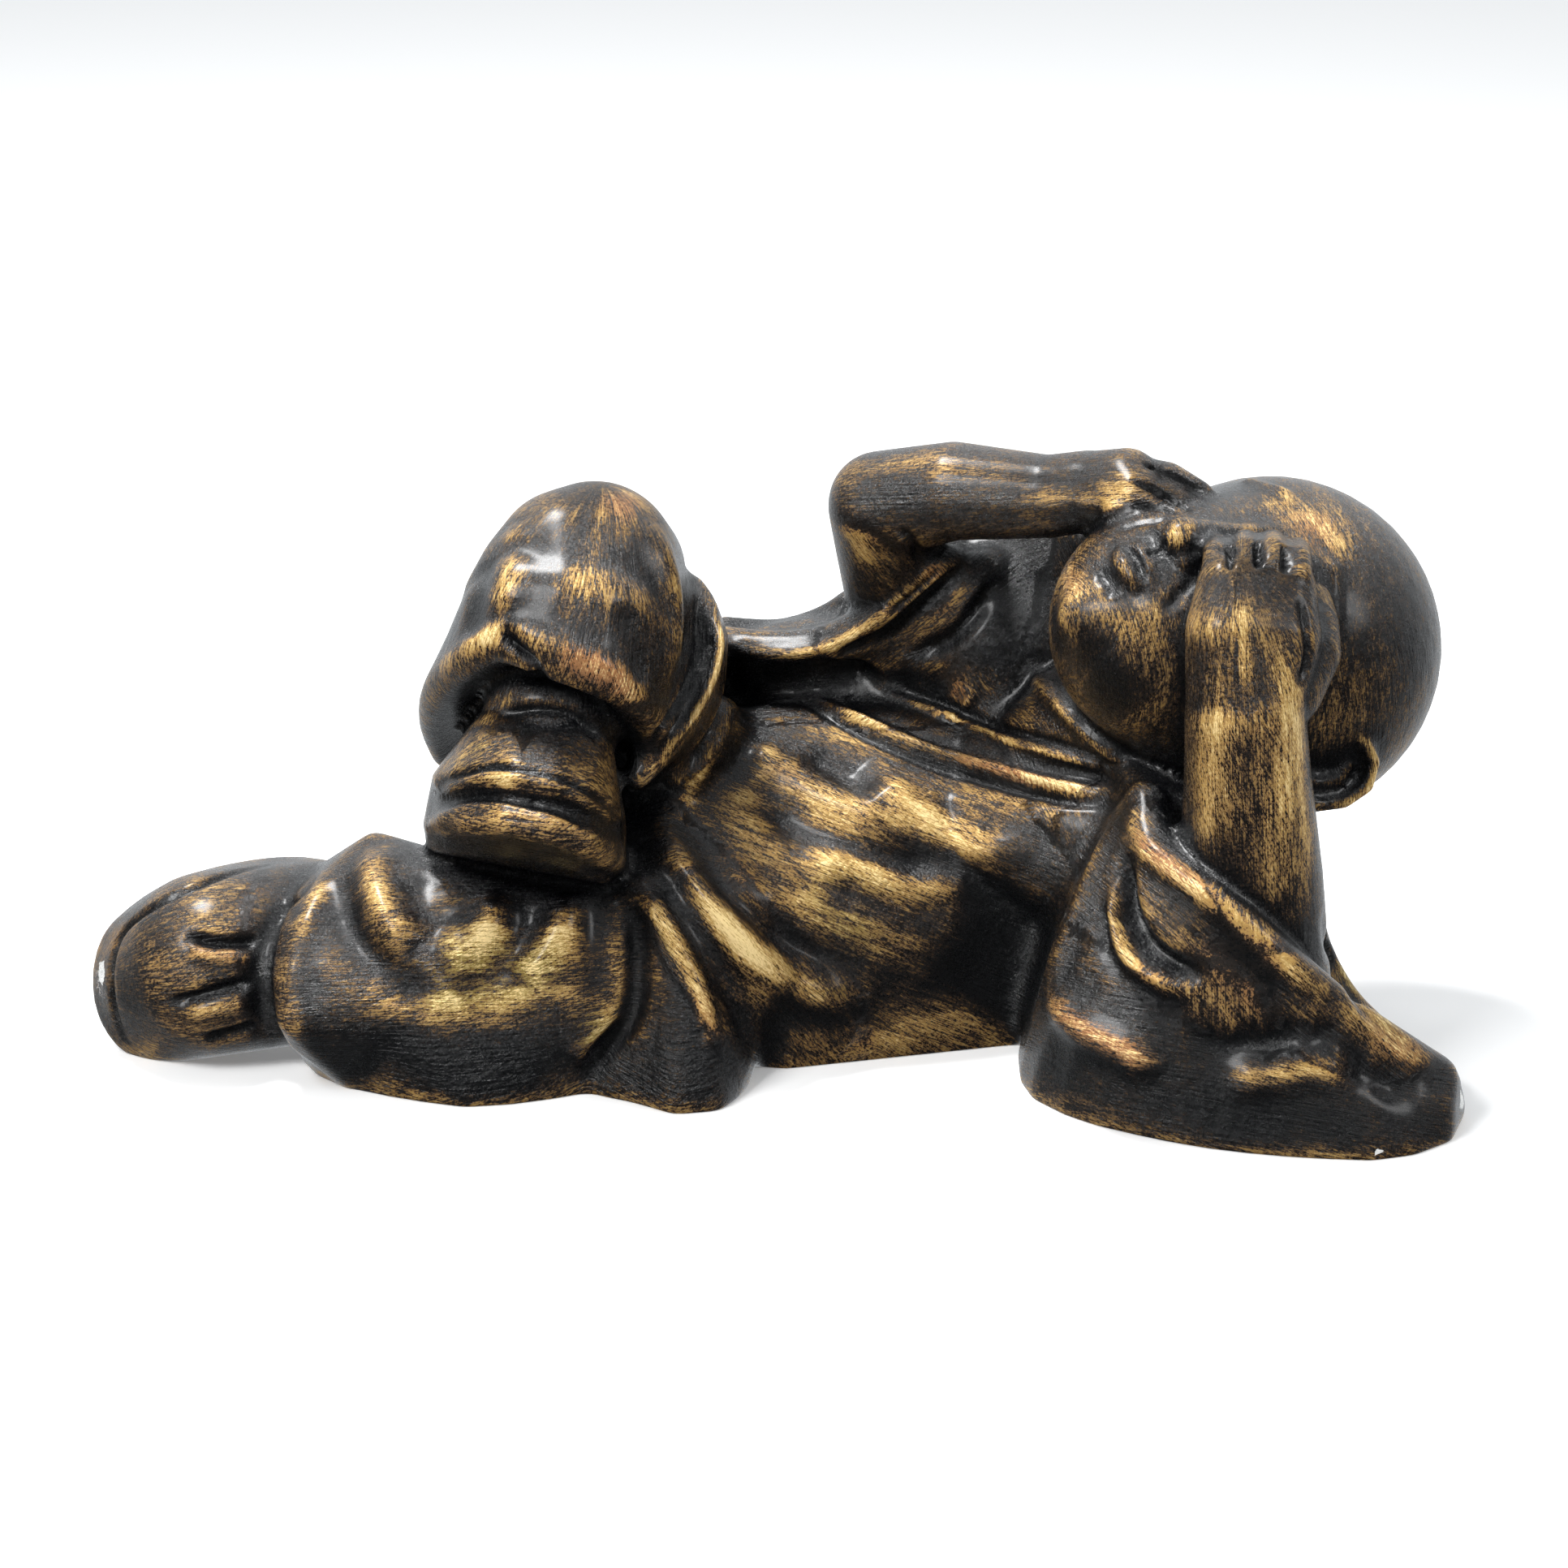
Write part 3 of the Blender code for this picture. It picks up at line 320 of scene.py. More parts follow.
def addNearSleeve(cloth):
    core = (at(165, -30, 45), 26)
    rim = run(
        14, (seen(163.7, -7, -52), 9), (seen(165.9, -23.5, -70), 9), (seen(175.8, -36.7, -84), 9),
        (seen(192.3, -49.5, -98), 9), (seen(212.5, -68.3, -105), 9), (seen(232.7, -86.6, -105), 9),
        (seen(252.9, -103.5, -101), 9), (seen(273, -118.5, -95), 10),
        (seen(292.9, -133.6, -88), 12),
    )
    bulge = run(
        14, (seen(141.7, -49.2, -50), 10), (seen(129.2, -85.9, -60), 11), (seen(139.1, -108.6, -80), 12),
        (seen(159.3, -118.9, -93), 12), (seen(185, -127, -101), 12), (seen(212.5, -131.8, -106), 12),
        (seen(240, -134.3, -109), 12), (seen(265.7, -140.2, -107), 12), (seen(290.3, -146.8, -98), 13),
    )
    foot = run(
        14, (ground(119.3, -127), 14), (ground(122.2, -138), 14), (ground(139.1, -146.8), 14),
        (ground(159.3, -152.3), 14), (ground(188.6, -158.2), 14), (ground(218, -161.8), 14),
        (ground(247.4, -163.7), 14), (ground(271.2, -163.7), 14), (ground(289.2, -157.8), 14),
    )
    cloth.loft(rim, bulge, core)
    cloth.loft(bulge, foot, core)
    cloth.lump(rim[0], bulge[0], (at(150, 0, 60), 30), (at(125, -20, 4), 14), foot[0])
    # the near shoulder, under the chin and behind the forearm
    cloth.lump(
        (seen(166.6, -8.8, -34), 12), (seen(157.4, 2.2, -4), 14), (seen(185, -7, -6), 14),
        (seen(196, -34.5, -30), 16), (at(150, 0, 60), 30), (at(150, 30, 90), 34),
    )
    cloth.lump(rim[-1], foot[-1], bulge[-1], (ground(293.6, -149), 14), (at(238, -50, 20), 18))
    # the panel behind the forearm
    panel = run(
        10, (seen(232.7, -51, -35), 8), (seen(237.1, -65, -35), 8), (seen(243, -80.7, -36), 8),
        (seen(252.1, -96.5, -42), 8), (seen(265, -110.8, -54), 8), (seen(278.9, -122.6, -68), 9),
        (seen(292.1, -132.9, -82), 11),
    )
    base = run(
        10, (at(178, -5, 8), 16), (at(205, -12, 8), 16), (at(235, -26, 8), 16),
        (ground(292.1, -140.9), 14),
    )
    cloth.loft(panel, base, (at(190, -35, 25), 22))


def addFarSleeve(cloth):
    cloth.lump(
        (seen(-22.4, 60.9, 104), 9), (seen(3.3, 59.8, 92), 10), (seen(30.8, 66.4, 104), 14),
        (seen(49.2, 64.6, 92), 16), (at(-30, 130, 4), 14), (at(100, 130, 4), 14),
        (at(100, 115, 100), 30),
    )
    cloth.lump(
        (seen(49.2, 66.4, 88), 14), (seen(73, 88.4, 78), 14), (seen(87.7, 84.8, 76), 12),
        (seen(91.4, 64.6, 90), 34), (seen(52.8, 68.3, 120), 20), (seen(82.2, 90.3, 110), 24),
    )
    cloth.lump(
        (seen(91.4, 64.6, 90), 34), (seen(107.9, 101.3, 105), 28), (seen(82.2, 97.6, 110), 24),
        (at(125, 85, 110), 45),
    )
    # three long rolls of cloth sweep up to the raised arm
    frontRoll = run(
        12, (seen(-26.8, 63.9, 92), 8), (seen(-5.9, 60.9, 84), 9), (seen(16.1, 61.7, 80), 10),
        (seen(34.5, 69.7, 76), 10), (seen(51, 82.6, 71), 9.5), (seen(66.8, 95.4, 67), 9),
        (seen(75.6, 101.3, 70), 8),
    )
    lowerRoll = run(
        8, (seen(34.5, 54.3, 90), 11), (seen(52.8, 60.9, 82), 12), (seen(71.2, 74.1, 75), 12),
        (seen(85.9, 88.8, 72), 11), (seen(91.8, 98.4, 76), 9),
    )
    rearRoll = run(
        8, (seen(-26.8, 69.4, 112), 7), (seen(-2.2, 67.2, 112), 8), (seen(19.8, 72.7, 112), 9),
        (seen(30.8, 80, 110), 9),
    )
    for roll in (frontRoll, lowerRoll, rearRoll):
        cloth.limb(*roll)
    # the cloth of the far shoulder rises behind the arm and closes the way between arm and face
    cloth.lump(
        (seen(82.2, 101.3, 120), 22), (seen(122.6, 101.3, 104), 22), (seen(118.9, 64.6, 86), 30),
        (at(140, 90, 110), 40), (seen(67.5, 108.6, 104), 15), (seen(128.1, 110.8, 92), 14),
    )


def addHead(flesh):
    flesh.lump(lobe(0, 0, 0, 78), lobe(-52, 34, 0, 55))
    flesh.lump(
        lobe(-52, 34, 0, 54), lobe(-91, 55, 0, 17), lobe(-46, 58, 27, 24), lobe(-46, 58, -27, 24),
    )
    flesh.lump(lobe(-55, -20, 0, 42), (at(125, 55, 110), 42))
    # nose, lips and ears on a plain set of proportions
    flesh.limb(lobe(-4, 73, 0, 7.5), lobe(-28, 83, 0, 6.5), lobe(-53, 91.5, 0, 9.5))
    for side in (-1, 1):
        flesh.lump(lobe(-55, 86, 9 * side, 6.5), lobe(-52, 84, 4 * side, 7))
        flesh.limb(lobe(-71, 85, 0, 4), lobe(-71, 84, 6 * side, 4), lobe(-74.5, 79, 15 * side, 2.4))
        flesh.limb(
            lobe(-79.5, 83, 0, 4.6), lobe(-79, 82, 6 * side, 4.2),
            lobe(-75.5, 78.5, 14 * side, 2.4),
        )
        flesh.limb(lobe(3, 73, 7 * side, 5), lobe(9, 71, 24 * side, 5.5), lobe(3, 62, 42 * side, 5))
        rim = [
            (-5, -14), (9, -15), (20, -8), (23, 3), (18, 13), (6, 17), (-7, 15), (-18, 8),
            (-24, -1),
        ]
        plate = [(ear(up, back, -3, side), 4) for up, back in rim]
        flesh.lump(*plate, (ear(0, -6, -14, side), 10))
        flesh.limb(*[(ear(up, back, 4, side), 3.4) for up, back in rim])
        inner = [(11, 2), (5, 7), (-5, 6), (-12, 0)]
        flesh.limb(*[(ear(up, back, 2, side), 3) for up, back in inner])
        flesh.lump((ear(-20, -3, 1, side), 6), (ear(-14, 2, 0, side), 4))
        flesh.lump((ear(-5, -12, 1, side), 4.5), (ear(-11, -10, 0, side), 4))


def addNearArm(flesh):
    flesh.limb(
        (seen(212.5, -91.4, -68), 34), (seen(211, -41.8, -72), 31.5),
        (seen(209.6, 2.2, -80), 27.5), (seen(208.5, 31.6, -82), 26),
    )
    flesh.lump(
        (seen(208.5, 31.6, -82), 25.5), (seen(200.7, 68.3, -78), 18.5),
        (seen(223.1, 66.4, -72), 19), (seen(200.4, 90.6, -67), 13), (seen(227.5, 88.8, -62), 12.5),
    )
    knuckles = [(195.6, 90.3), (208.5, 92.5), (220.6, 92.5), (231.9, 88.8)]
    for across, up in knuckles:
        flesh.limb(
            (seen(across, up - 4, -66), 7.4), (seen(across, up + 6, -65), 6.7),
            (seen(across, up + 13, -57), 6.2), (seen(across, up + 17, -38), 6),
        )
    # the thumb lies along the temple
    flesh.limb(
        (seen(227.2, 42.6, -75), 16), (seen(238.9, 59.1, -64), 12.5),
        (seen(240.4, 71.2, -53), 10.5), (seen(238.5, 82.2, -40), 9),
    )


def addFarArm(flesh):
    flesh.limb((at(105, 105, 145), 34), (seen(49.9, 90.3, 90), 24), (seen(44, 125.1, 72), 24.5))
    flesh.limb(
        (seen(44, 126.6, 72), 24.5), (seen(76.7, 132.5, 55), 22.5), (seen(118.9, 129.9, 40), 19),
        (seen(137.3, 132.5, 32), 18.5),
    )
    flesh.lump(
        (seen(137.3, 132.5, 32), 18), (seen(154.9, 136.5, 22), 15.5), (seen(159.3, 129.9, 10), 13),
        (seen(153.8, 127.7, 20), 14),
    )
    flesh.limb(
        (seen(157.4, 140.6, 25), 8.2), (seen(174, 138, 20), 7.6), (seen(187.9, 130.7, 15), 6.4),
    )
    flesh.limb(
        (seen(157.4, 133.2, 12), 8.2), (seen(172.1, 129.2, 8), 7.6), (seen(186.4, 122.9, 4), 6.4),
    )
    flesh.limb(
        (seen(151.9, 124.8, 6), 8.4), (seen(166.6, 121.1, 0), 7.8), (seen(175.4, 117.8, -4), 6.6),
    )


def addFeet(flesh):
    edge = run(
        26, (seen(-207, -39.6, 42), 5.5), (seen(-220.6, -37.8, 40), 5.5),
        (seen(-235.2, -38.5, 36), 5.5), (seen(-249.9, -41.1, 30), 5.5),
        (seen(-264.6, -45.1, 25), 5.5), (seen(-279.3, -51, 20), 5.5),
        (seen(-292.1, -59.1, 15), 5.5), (seen(-302, -68.6, 9), 5.5), (seen(-306.8, -80.7, 5), 5.5),
        (seen(-307.2, -94, 1), 5.5), (seen(-303.9, -106.1, -3), 5.5),
        (seen(-296.9, -115.6, -6), 5.5), (seen(-286.3, -122.2, -9), 5.5),
    )
    flesh.lump(
        (at(-262, -4, 42), 42.5), (at(-215, 18, 48), 34), (at(-278, 0, 36), 34),
        (at(-220, -6, 40), 34), *edge,
    )
    flesh.limb(*edge)
    # the raised foot: sock, toe cap, side band and the sole under it
    flesh.limb((seen(-101.3, 42.6, -20), 28), (seen(-105, 28.6, -28), 31))
    seam = run(
        12, (seen(-152.3, 1.5, -15), 7), (seen(-150.5, 1.5, -50), 7), (seen(-134.3, 2.9, -74), 7),
        (seen(-116, 1.5, -84), 7), (seen(-97.6, -3.7, -82), 7), (seen(-82.9, -12.5, -62), 7),
        (seen(-78.5, -16.1, -20), 7),
    )
    band = run(
        12, (seen(-156, -18, -12), 7), (seen(-154.5, -18, -52), 7), (seen(-137.3, -16.1, -80), 7),
        (seen(-116, -17.6, -92), 7), (seen(-95.8, -23.5, -89), 7), (seen(-81.1, -31.9, -66), 7),
        (seen(-77.8, -36, -20), 7),
    )
    sole = run(
        12, (seen(-157.8, -25.7, -8), 4), (seen(-156.3, -27.2, -40), 4),
        (seen(-138, -28.6, -62), 4), (seen(-116, -30.5, -72), 4), (seen(-95.8, -34.5, -70), 4),
        (seen(-82.9, -40.4, -50), 4), (seen(-79.3, -41.8, -12), 4),
    )
    back = (seen(-116, -7, 0), 26)
    flesh.lump(
        (seen(-119.6, 11, -42), 26), (seen(-103.1, 9.5, -44), 26), (seen(-114.1, 13.2, 0), 30),
        *seam,
    )
    flesh.lump(*seam, back)
    flesh.lump(*band, back, *seam[:1], *seam[-1:])
    flesh.limb(*band)
    flesh.lump(*sole, *band[:1], *band[-1:], back)
    flesh.lump(*[(middle + Vector((0, 6, 0)), radius) for middle, radius in band], *sole)


class Carving:
    # ridges and grooves along lines of the drawing, or along lines in space
    def __init__(self, thing):
        self.thing = thing
        count = len(thing.data.vertices)
        self.spots = np.empty(count * 3, np.float32)
        self.out = np.empty(count * 3, np.float32)
        thing.data.vertices.foreach_get("co", self.spots)
        thing.data.vertices.foreach_get("normal", self.out)
        self.spots = self.spots.reshape(-1, 3).astype(float)
        self.out = self.out.reshape(-1, 3).astype(float)
        self.skin = BVHTree.FromObject(thing, bpy.context.evaluated_depsgraph_get())

    def line(self, marks):
        points = curve([np.array(mark, float) for mark in marks], 1.5)
        found = []
        for point in points:
            if len(point) == 2:
                start = eye * step
                way = seen(point[0], point[1], 0) * step - start
                hit = self.skin.ray_cast(start, way.normalized())[0]
            else:
                hit = self.skin.find_nearest(Vector(point) * step)[0]
            if hit:
                found.append(hit[:])
        return np.array(found)

    def gaps(self, marks, reach):
        # the points of the skin near a line: which, how far, and how far along
        path = self.line(marks)
        inside = (self.spots > path.min(0) - reach) & (self.spots < path.max(0) + reach)
        chosen = np.nonzero(inside.all(1))[0]
        near = self.spots[chosen]
        nearest = np.full(len(near), 1.0)
        share = np.zeros(len(near))
        for index in range(len(path) - 1):
            start = path[index]
            stride = path[index + 1] - start
            along = np.clip((near - start) @ stride / max(stride @ stride, 1e-12), 0, 1)
            gap = np.linalg.norm(near - start - along[:, None] * stride, axis=1)
            closer = gap < nearest
            nearest[closer] = gap[closer]
            share[closer] = (index + along[closer]) / (len(path) - 1)
        return chosen, nearest, share

    def mark(self, marks, width, height, sharp=False, taper=0.2):
        chosen, nearest, share = self.gaps(marks, 3 * width * step)
        gap = nearest / (width * step)
        shape = np.exp(-1.6 * gap) if sharp else np.exp(-gap ** 2)
        fade = np.clip(np.minimum(share, 1 - share) / taper, 0, 1) if taper else 1
        lift = monk["relief"] * height * step * shape * fade
        self.spots[chosen] += self.out[chosen] * lift[:, None]

    def apply(self):
        self.thing.data.vertices.foreach_set("co", self.spots.astype(np.float32).ravel())
        self.thing.data.update()


# lines that are both carved and painted
drawn = {
    "sleeveRim": [
        (156.3, -12.5), (160.7, -25.3), (174, -36.7), (196, -52.8), (218, -71.9), (247.4, -97.6),
    ],
    "sleeveTip": [(247.4, -97.6), (269.4, -114.1), (295.1, -128.1)],
    "sleeveFoot": [(196, -135.4), (218, -132.1), (240, -127), (262, -129.2)],
    "lapel": [
        (7, 41.8), (33.4, 29.4), (63.9, 16.1), (94.3, 7), (124.8, -0.7), (150.8, -3.7),
    ],
    "side": [(100.6, -41.8), (95.1, -71.2), (78.5, -100.6)],
    "upperToe": [(-269.4, -74.9), (-255.4, -77.8), (-237.8, -79.3)],
    "lowerToe": [(-271.9, -104.2), (-255.4, -102), (-240, -99.1)],
    "backFold": [at(-60, 145, 90), at(0, 150, 70), at(70, 158, 60), at(130, 150, 70)],
    "lowBackFold": [at(-40, 150, 50), at(30, 155, 35), at(100, 158, 25)],
    "shoulderFold": [at(150, 120, 120), at(165, 90, 70), at(160, 60, 30)],
}


def carveRaisedLeg(skin):
    skin.mark([(-119.6, 119.6), (-124, 97.6), (-127.7, 74.9)], 9, 2.8)
    skin.mark([(-134.3, 101.3), (-139.8, 79.3), (-141.7, 64.6)], 9, -2)
    skin.mark([(-60.9, 119.6), (-50.6, 92.1), (-49.9, 68.3), (-56.5, 42.6)], 8, 2.8)
    skin.mark([(-71.9, 82.9), (-66.4, 60.9), (-64.6, 44.4)], 7, -1.6)
    skin.mark(
        [(-156.3, 48.1), (-146.1, 59.1), (-127, 69.7), (-105, 63.9), (-81.1, 53.6), (-60.9, 39.6)],
        6, 1.8,
    )
    skin.mark([(-128.4, 70.5), (-119.6, 60.9), (-109.4, 47)], 3.4, -6)
    skin.mark([(-39.6, 84.8), (-37.4, 71.9), (-38.2, 57.3), (-45.5, 38.2), (-61.7, 16.1)], 3, -5)
    skin.mark([(-33.8, 73.8), (-34.5, 55.4), (-42.6, 34.5), (-58.7, 12.5)], 2.2, -2.4)
    skin.mark([(-30.8, 77.4), (-30.1, 60.9), (-36, 41.8), (-54.3, 13.2)], 2.6, 3)
    skin.mark([(-25, 60.9), (-25.7, 38.2), (-36, 18.7), (-48.1, 2.2)], 5, -5)


def carveShoe(skin):
    skin.mark([(-129.9, 30.8), (-113.8, 33.8), (-96.5, 31.6), (-82.6, 19.8)], 2.6, -2.4)
    skin.mark(
        [
            (-157.8, -3.3), (-151.9, 2.2), (-134.3, 7.7), (-116, 6.6), (-97.6, 1.5), (-82.2, -7.3),
            (-74.1, -16.9),
        ],
        2.4, -3,
    )
    skin.mark(
        [(-157.1, -7), (-149, -0.7), (-134.3, 4), (-116, 2.9), (-97.6, -2.6), (-82.9, -11.7)],
        3, 1.4,
    )
    skin.mark(
        [
            (-161.5, -18.4), (-149, -12.1), (-134.3, -9.9), (-116, -13.2), (-97.6, -19.8),
            (-82.2, -29.7),
        ],
        3, 1.6,
    )


def carveNearLeg(skin):
    skin.mark(
        [(-203.3, -37.4), (-213.2, -54.7), (-220.2, -74.9), (-220.9, -96.9), (-216.5, -118.9)],
        6, 2.4,
    )
    skin.mark(
        [(-210.7, -41.1), (-225.3, -56.5), (-233.4, -73), (-234.9, -93.2), (-231.9, -118.9)],
        4, -3,
    )
    skin.mark(
        [(-196, -41.8), (-198.9, -56.5), (-193, -73), (-178.4, -85.9), (-156.3, -100.6)], 9, -4.6,
    )
    skin.mark([(-185, -27.2), (-185, -45.5), (-179.1, -62), (-165.5, -73)], 9, 5)
    skin.mark([(-163.7, -38.2), (-160.7, -56.5), (-149, -67.5)], 10, -2.4)
    skin.mark([(-134.3, -47.3), (-132.1, -60.2), (-139.8, -73), (-156.3, -80.4)], 8, 4.6)
    skin.mark([(-117.4, -49.2), (-116.7, -67.5), (-130.7, -85.9), (-149, -98.7)], 9, -4)
    skin.mark([(-101.3, -49.2), (-99.8, -60.2), (-108.6, -74.9), (-119.6, -89.5)], 10, 4.6)
    skin.mark([(-86.6, -52.8), (-82.9, -74.9), (-84.8, -96.9)], 9, -1.6)
    skin.mark(
        [(-69.7, -52.8), (-66.8, -78.5), (-69.7, -104.2), (-83.7, -122.6), (-89.5, -139.1)], 5, -5,
    )
    skin.mark([(-75.6, -100.6), (-86.6, -115.2), (-97.6, -126.2)], 8, 2)
    skin.mark([(-69.7, -47), (-58, -56.5), (-47.7, -74.9), (-38.2, -95.1), (-32.3, -118.9)], 5, 3)
    skin.mark(
        [(-60.9, -27.2), (-44.4, -52.8), (-29.7, -78.5), (-18.7, -104.2), (-15, -126.2)], 8, -4.5,
    )


def carveNearFoot(skin):
    skin.mark(
        [
            (-229.7, -36), (-248.1, -39.6), (-266.4, -46.2), (-284.8, -55), (-297.6, -65.3),
            (-303.5, -78.5), (-304.2, -93.2), (-301.3, -107.9), (-295.8, -118.2),
        ],
        2.4, -2.6,
    )
    skin.mark([(-230.5, -52.8), (-236.3, -71.2), (-237.1, -91.4), (-234.9, -115.2)], 6, -2.4)
    skin.mark([(-270.8, -68.3), (-258.4, -71.2), (-244.4, -71.2), (-234.1, -69.7)], 3, -4.5)
    skin.mark([(-279.3, -99.5), (-266.4, -96.9), (-251.8, -92.5), (-237.8, -88.8)], 3.2, -4.5)
    skin.mark([(-262, -115.6), (-249.6, -112.3), (-237.8, -109.4)], 2.8, -3.4)
    skin.mark(drawn["upperToe"], 4, 2)
    skin.mark(drawn["lowerToe"], 4, 1.6)


def carveChest(skin):
    skin.mark([(-24.2, 22.4), (-5.9, 8.8), (16.1, -4.4), (38.2, -13.6), (58.4, -18)], 10, 5)
    skin.mark([(34.5, 7.7), (52.8, -7), (71.2, -19.8), (91.4, -27.2), (117.1, -26.4)], 11, 6)
    skin.mark([(8.8, 13.2), (27.2, 2.9), (43.7, -7)], 7, -1.8)
    skin.mark([(-16.9, -3.3), (8.8, -19.8), (43.7, -31.6), (80.4, -41.1)], 9, -4.4)
    skin.mark([(8.8, -27.2), (32.7, -36), (56.5, -43.3), (84, -49.2)], 8, 2.8)
    skin.mark([(16.1, -43.7), (45.5, -53.6), (74.9, -60.2)], 9, -2)
    skin.mark([(54.7, 4), (78.5, -7), (104.2, -13.6), (129.9, -15.4)], 7, 2.2)
    skin.mark(drawn["side"], 18, -2.6)
    skin.mark(
        [
            (-60.9, -3.3), (-54.3, -27.2), (-41.8, -48.4), (-24.2, -67.5), (-4, -84), (18, -94),
            (43.7, -96.2),
        ],
        9, 6.5,
    )
    skin.mark([(-38.2, -19.8), (-27.9, -41.8), (-9.5, -62), (12.5, -76.7), (38.2, -84)], 9, -4.5)
    skin.mark([(-24.2, 31.6), (-37.1, 15), (-45.5, -1.5), (-47.7, -19.8)], 10, 4.6)
    # the lapel's two edges, the inner collar and the neckline
    skin.mark(drawn["lapel"], 3, 3.4)
    skin.mark(
        [(7, 37.4), (33.4, 23.9), (63.9, 9.9), (94.3, 0.7), (124.8, -7), (150.8, -9.5)], 2.8, -3.6,
    )
    skin.mark([(38.2, 34.5), (63.9, 25), (94.3, 13.9), (121.8, 6.2)], 6, 1.4)
    skin.mark(
        [(41.8, 42.6), (63.9, 34.5), (94.3, 22.4), (121.8, 13.9), (140.2, 8.8), (162.9, 1.5)],
        2.6, 2.2,
    )
    skin.mark([(45.5, 45.5), (63.9, 38.9), (94.3, 26.8), (121.8, 18.4), (144.6, 11.7)], 2.4, -2.4)
    skin.mark([(58.7, 41.8), (71.2, 35.2), (79.6, 32.3), (86.6, 44.4)], 2.2, 2.4)
    skin.mark([(108.6, 53.6), (126.2, 34.5), (144.6, 16.9), (166.6, 2.2)], 4, 3.4)


def carveSleeves(skin):
    skin.mark(drawn["sleeveRim"], 6, 3.4)
    skin.mark(drawn["sleeveTip"], 6, 1.6)
    skin.mark(
        [(156.3, -30.8), (154.1, -49.2), (160.7, -68.3), (174, -80.7), (192.3, -88.1)], 5, -6.5,
    )
    skin.mark(
        [(150.5, -41.8), (151.2, -60.2), (156.3, -77.1), (168.1, -86.6), (188.6, -94)], 4.6, 5,
    )
    skin.mark([(143.9, -52.8), (145.3, -74.9), (154.9, -90.3)], 4, -2.4)
    skin.mark([(150.1, -16.1), (138, -43.7), (127, -73), (119.6, -95.1)], 6, 2.6)
    skin.mark([(117.4, -95.1), (133.6, -108.6), (151.9, -118.2), (171, -130.7)], 9, 4.4)
    skin.mark(drawn["sleeveFoot"], 9, 4)
    skin.mark([(181.3, -118.9), (210.7, -117.1), (240, -113.4)], 9, -3.6)
    skin.mark([(232.7, -106.1), (262, -129.2), (287.7, -141.7)], 8, -3.6)
    skin.mark([(243, -56.5), (248.1, -78.5), (265.7, -106.1), (289.6, -126.2)], 5, -2)
    # between the rolls of the far sleeve, and along them
    skin.mark([(-24.2, 55), (-2.2, 51.4), (23.5, 52.8), (45.5, 47)], 5, -6)
    skin.mark([(23.5, 58.7), (45.5, 67.5), (64.6, 82.9), (82.2, 99.1)], 3.4, -6.5)
    skin.mark([(46.2, 76.3), (60.2, 87.3), (71.9, 98.4)], 2.4, -3)
    skin.mark([(-24.2, 61.7), (-2.2, 58.7), (23.5, 62.8), (43.7, 75.6), (60.2, 89.5)], 3.4, 2.6)
    skin.mark([(56.5, 55.4), (75.6, 66.1), (88.8, 80), (97.6, 93.2)], 4.5, -5)


def carveHands(skin):
    for across, top, low in ((201.8, 109.4, 96.2), (214.3, 110.8, 96.9), (226.4, 107.9, 94.7)):
        skin.mark([(across, top), (across, low)], 1.5, -4.5, taper=0.3)
    skin.mark([(233.4, 84.8), (237.1, 60.9), (232.7, 42.6)], 2.4, -2)
    skin.mark([(157.1, 138), (170.3, 131.4), (184.2, 123.3)], 1.5, -4)
    skin.mark([(161.5, 145), (177.6, 138.7), (192.3, 131.4)], 1.4, -3)
    skin.mark([(157.4, 126.2), (170.3, 124.8), (178.4, 121.8)], 1.4, -2.5)
    skin.mark([(52.8, 116), (58.7, 107.9), (61.7, 100.6)], 2.4, -2)


def carveHead(skin):
    for side in (-1, 1):
        skin.mark(
            [head(-50, 78, 13 * side), head(-60, 79, 19 * side), head(-72, 76, 25 * side)],
            3, -1.6,
        )
    skin.mark([head(-75.3, 82, -12), head(-75.3, 88, 0), head(-75.3, 82, 12)], 1.5, -3, taper=0.3)
    skin.mark([head(-62, 92, 0), head(-67, 90, 0)], 1.8, -1.5, taper=0)
    skin.mark([head(-89, 76, -9), head(-88.5, 79, 0), head(-89, 76, 9)], 3, -1.6)


def carveBack(skin):
    # the hidden side is plainer: a few long folds of the robe and the sleeve
    skin.mark(drawn["backFold"], 8, 3)
    skin.mark(drawn["lowBackFold"], 8, 3)
    skin.mark([at(-60, 140, 70), at(10, 155, 50), at(90, 160, 42)], 7, -2.5)
    skin.mark(drawn["shoulderFold"], 8, 3)
    skin.mark([at(-100, 100, 120), at(-90, 130, 90), at(-60, 140, 60)], 7, 3)
    skin.mark([at(230, 0, 60), at(250, -30, 30), at(270, -60, 10)], 6, -2)


def build():
    cloth = Forms()
    for add in (addTrunk, addRaisedLeg, addNearLeg, addNearSleeve, addFarSleeve):
        add(cloth)
    robe = fused(cloth.body("robe"), monk["clothFillet"], 6)
    print("robe fused")
    whole = Forms()
    whole.take(robe)
    for add in (addHead, addNearArm, addFarArm, addFeet):
        add(whole)
    figure = oneBody(fused(whole.body("monk"), monk["skinFillet"], 2))
    print("figure fused", len(figure.data.vertices))
    skin = Carving(figure)
    for carve in (
        carveRaisedLeg, carveShoe, carveNearLeg, carveNearFoot, carveChest, carveSleeves,
        carveHands, carveHead, carveBack,
    ):
        carve(skin)
    skin.apply()
    print("figure carved")
    return figure


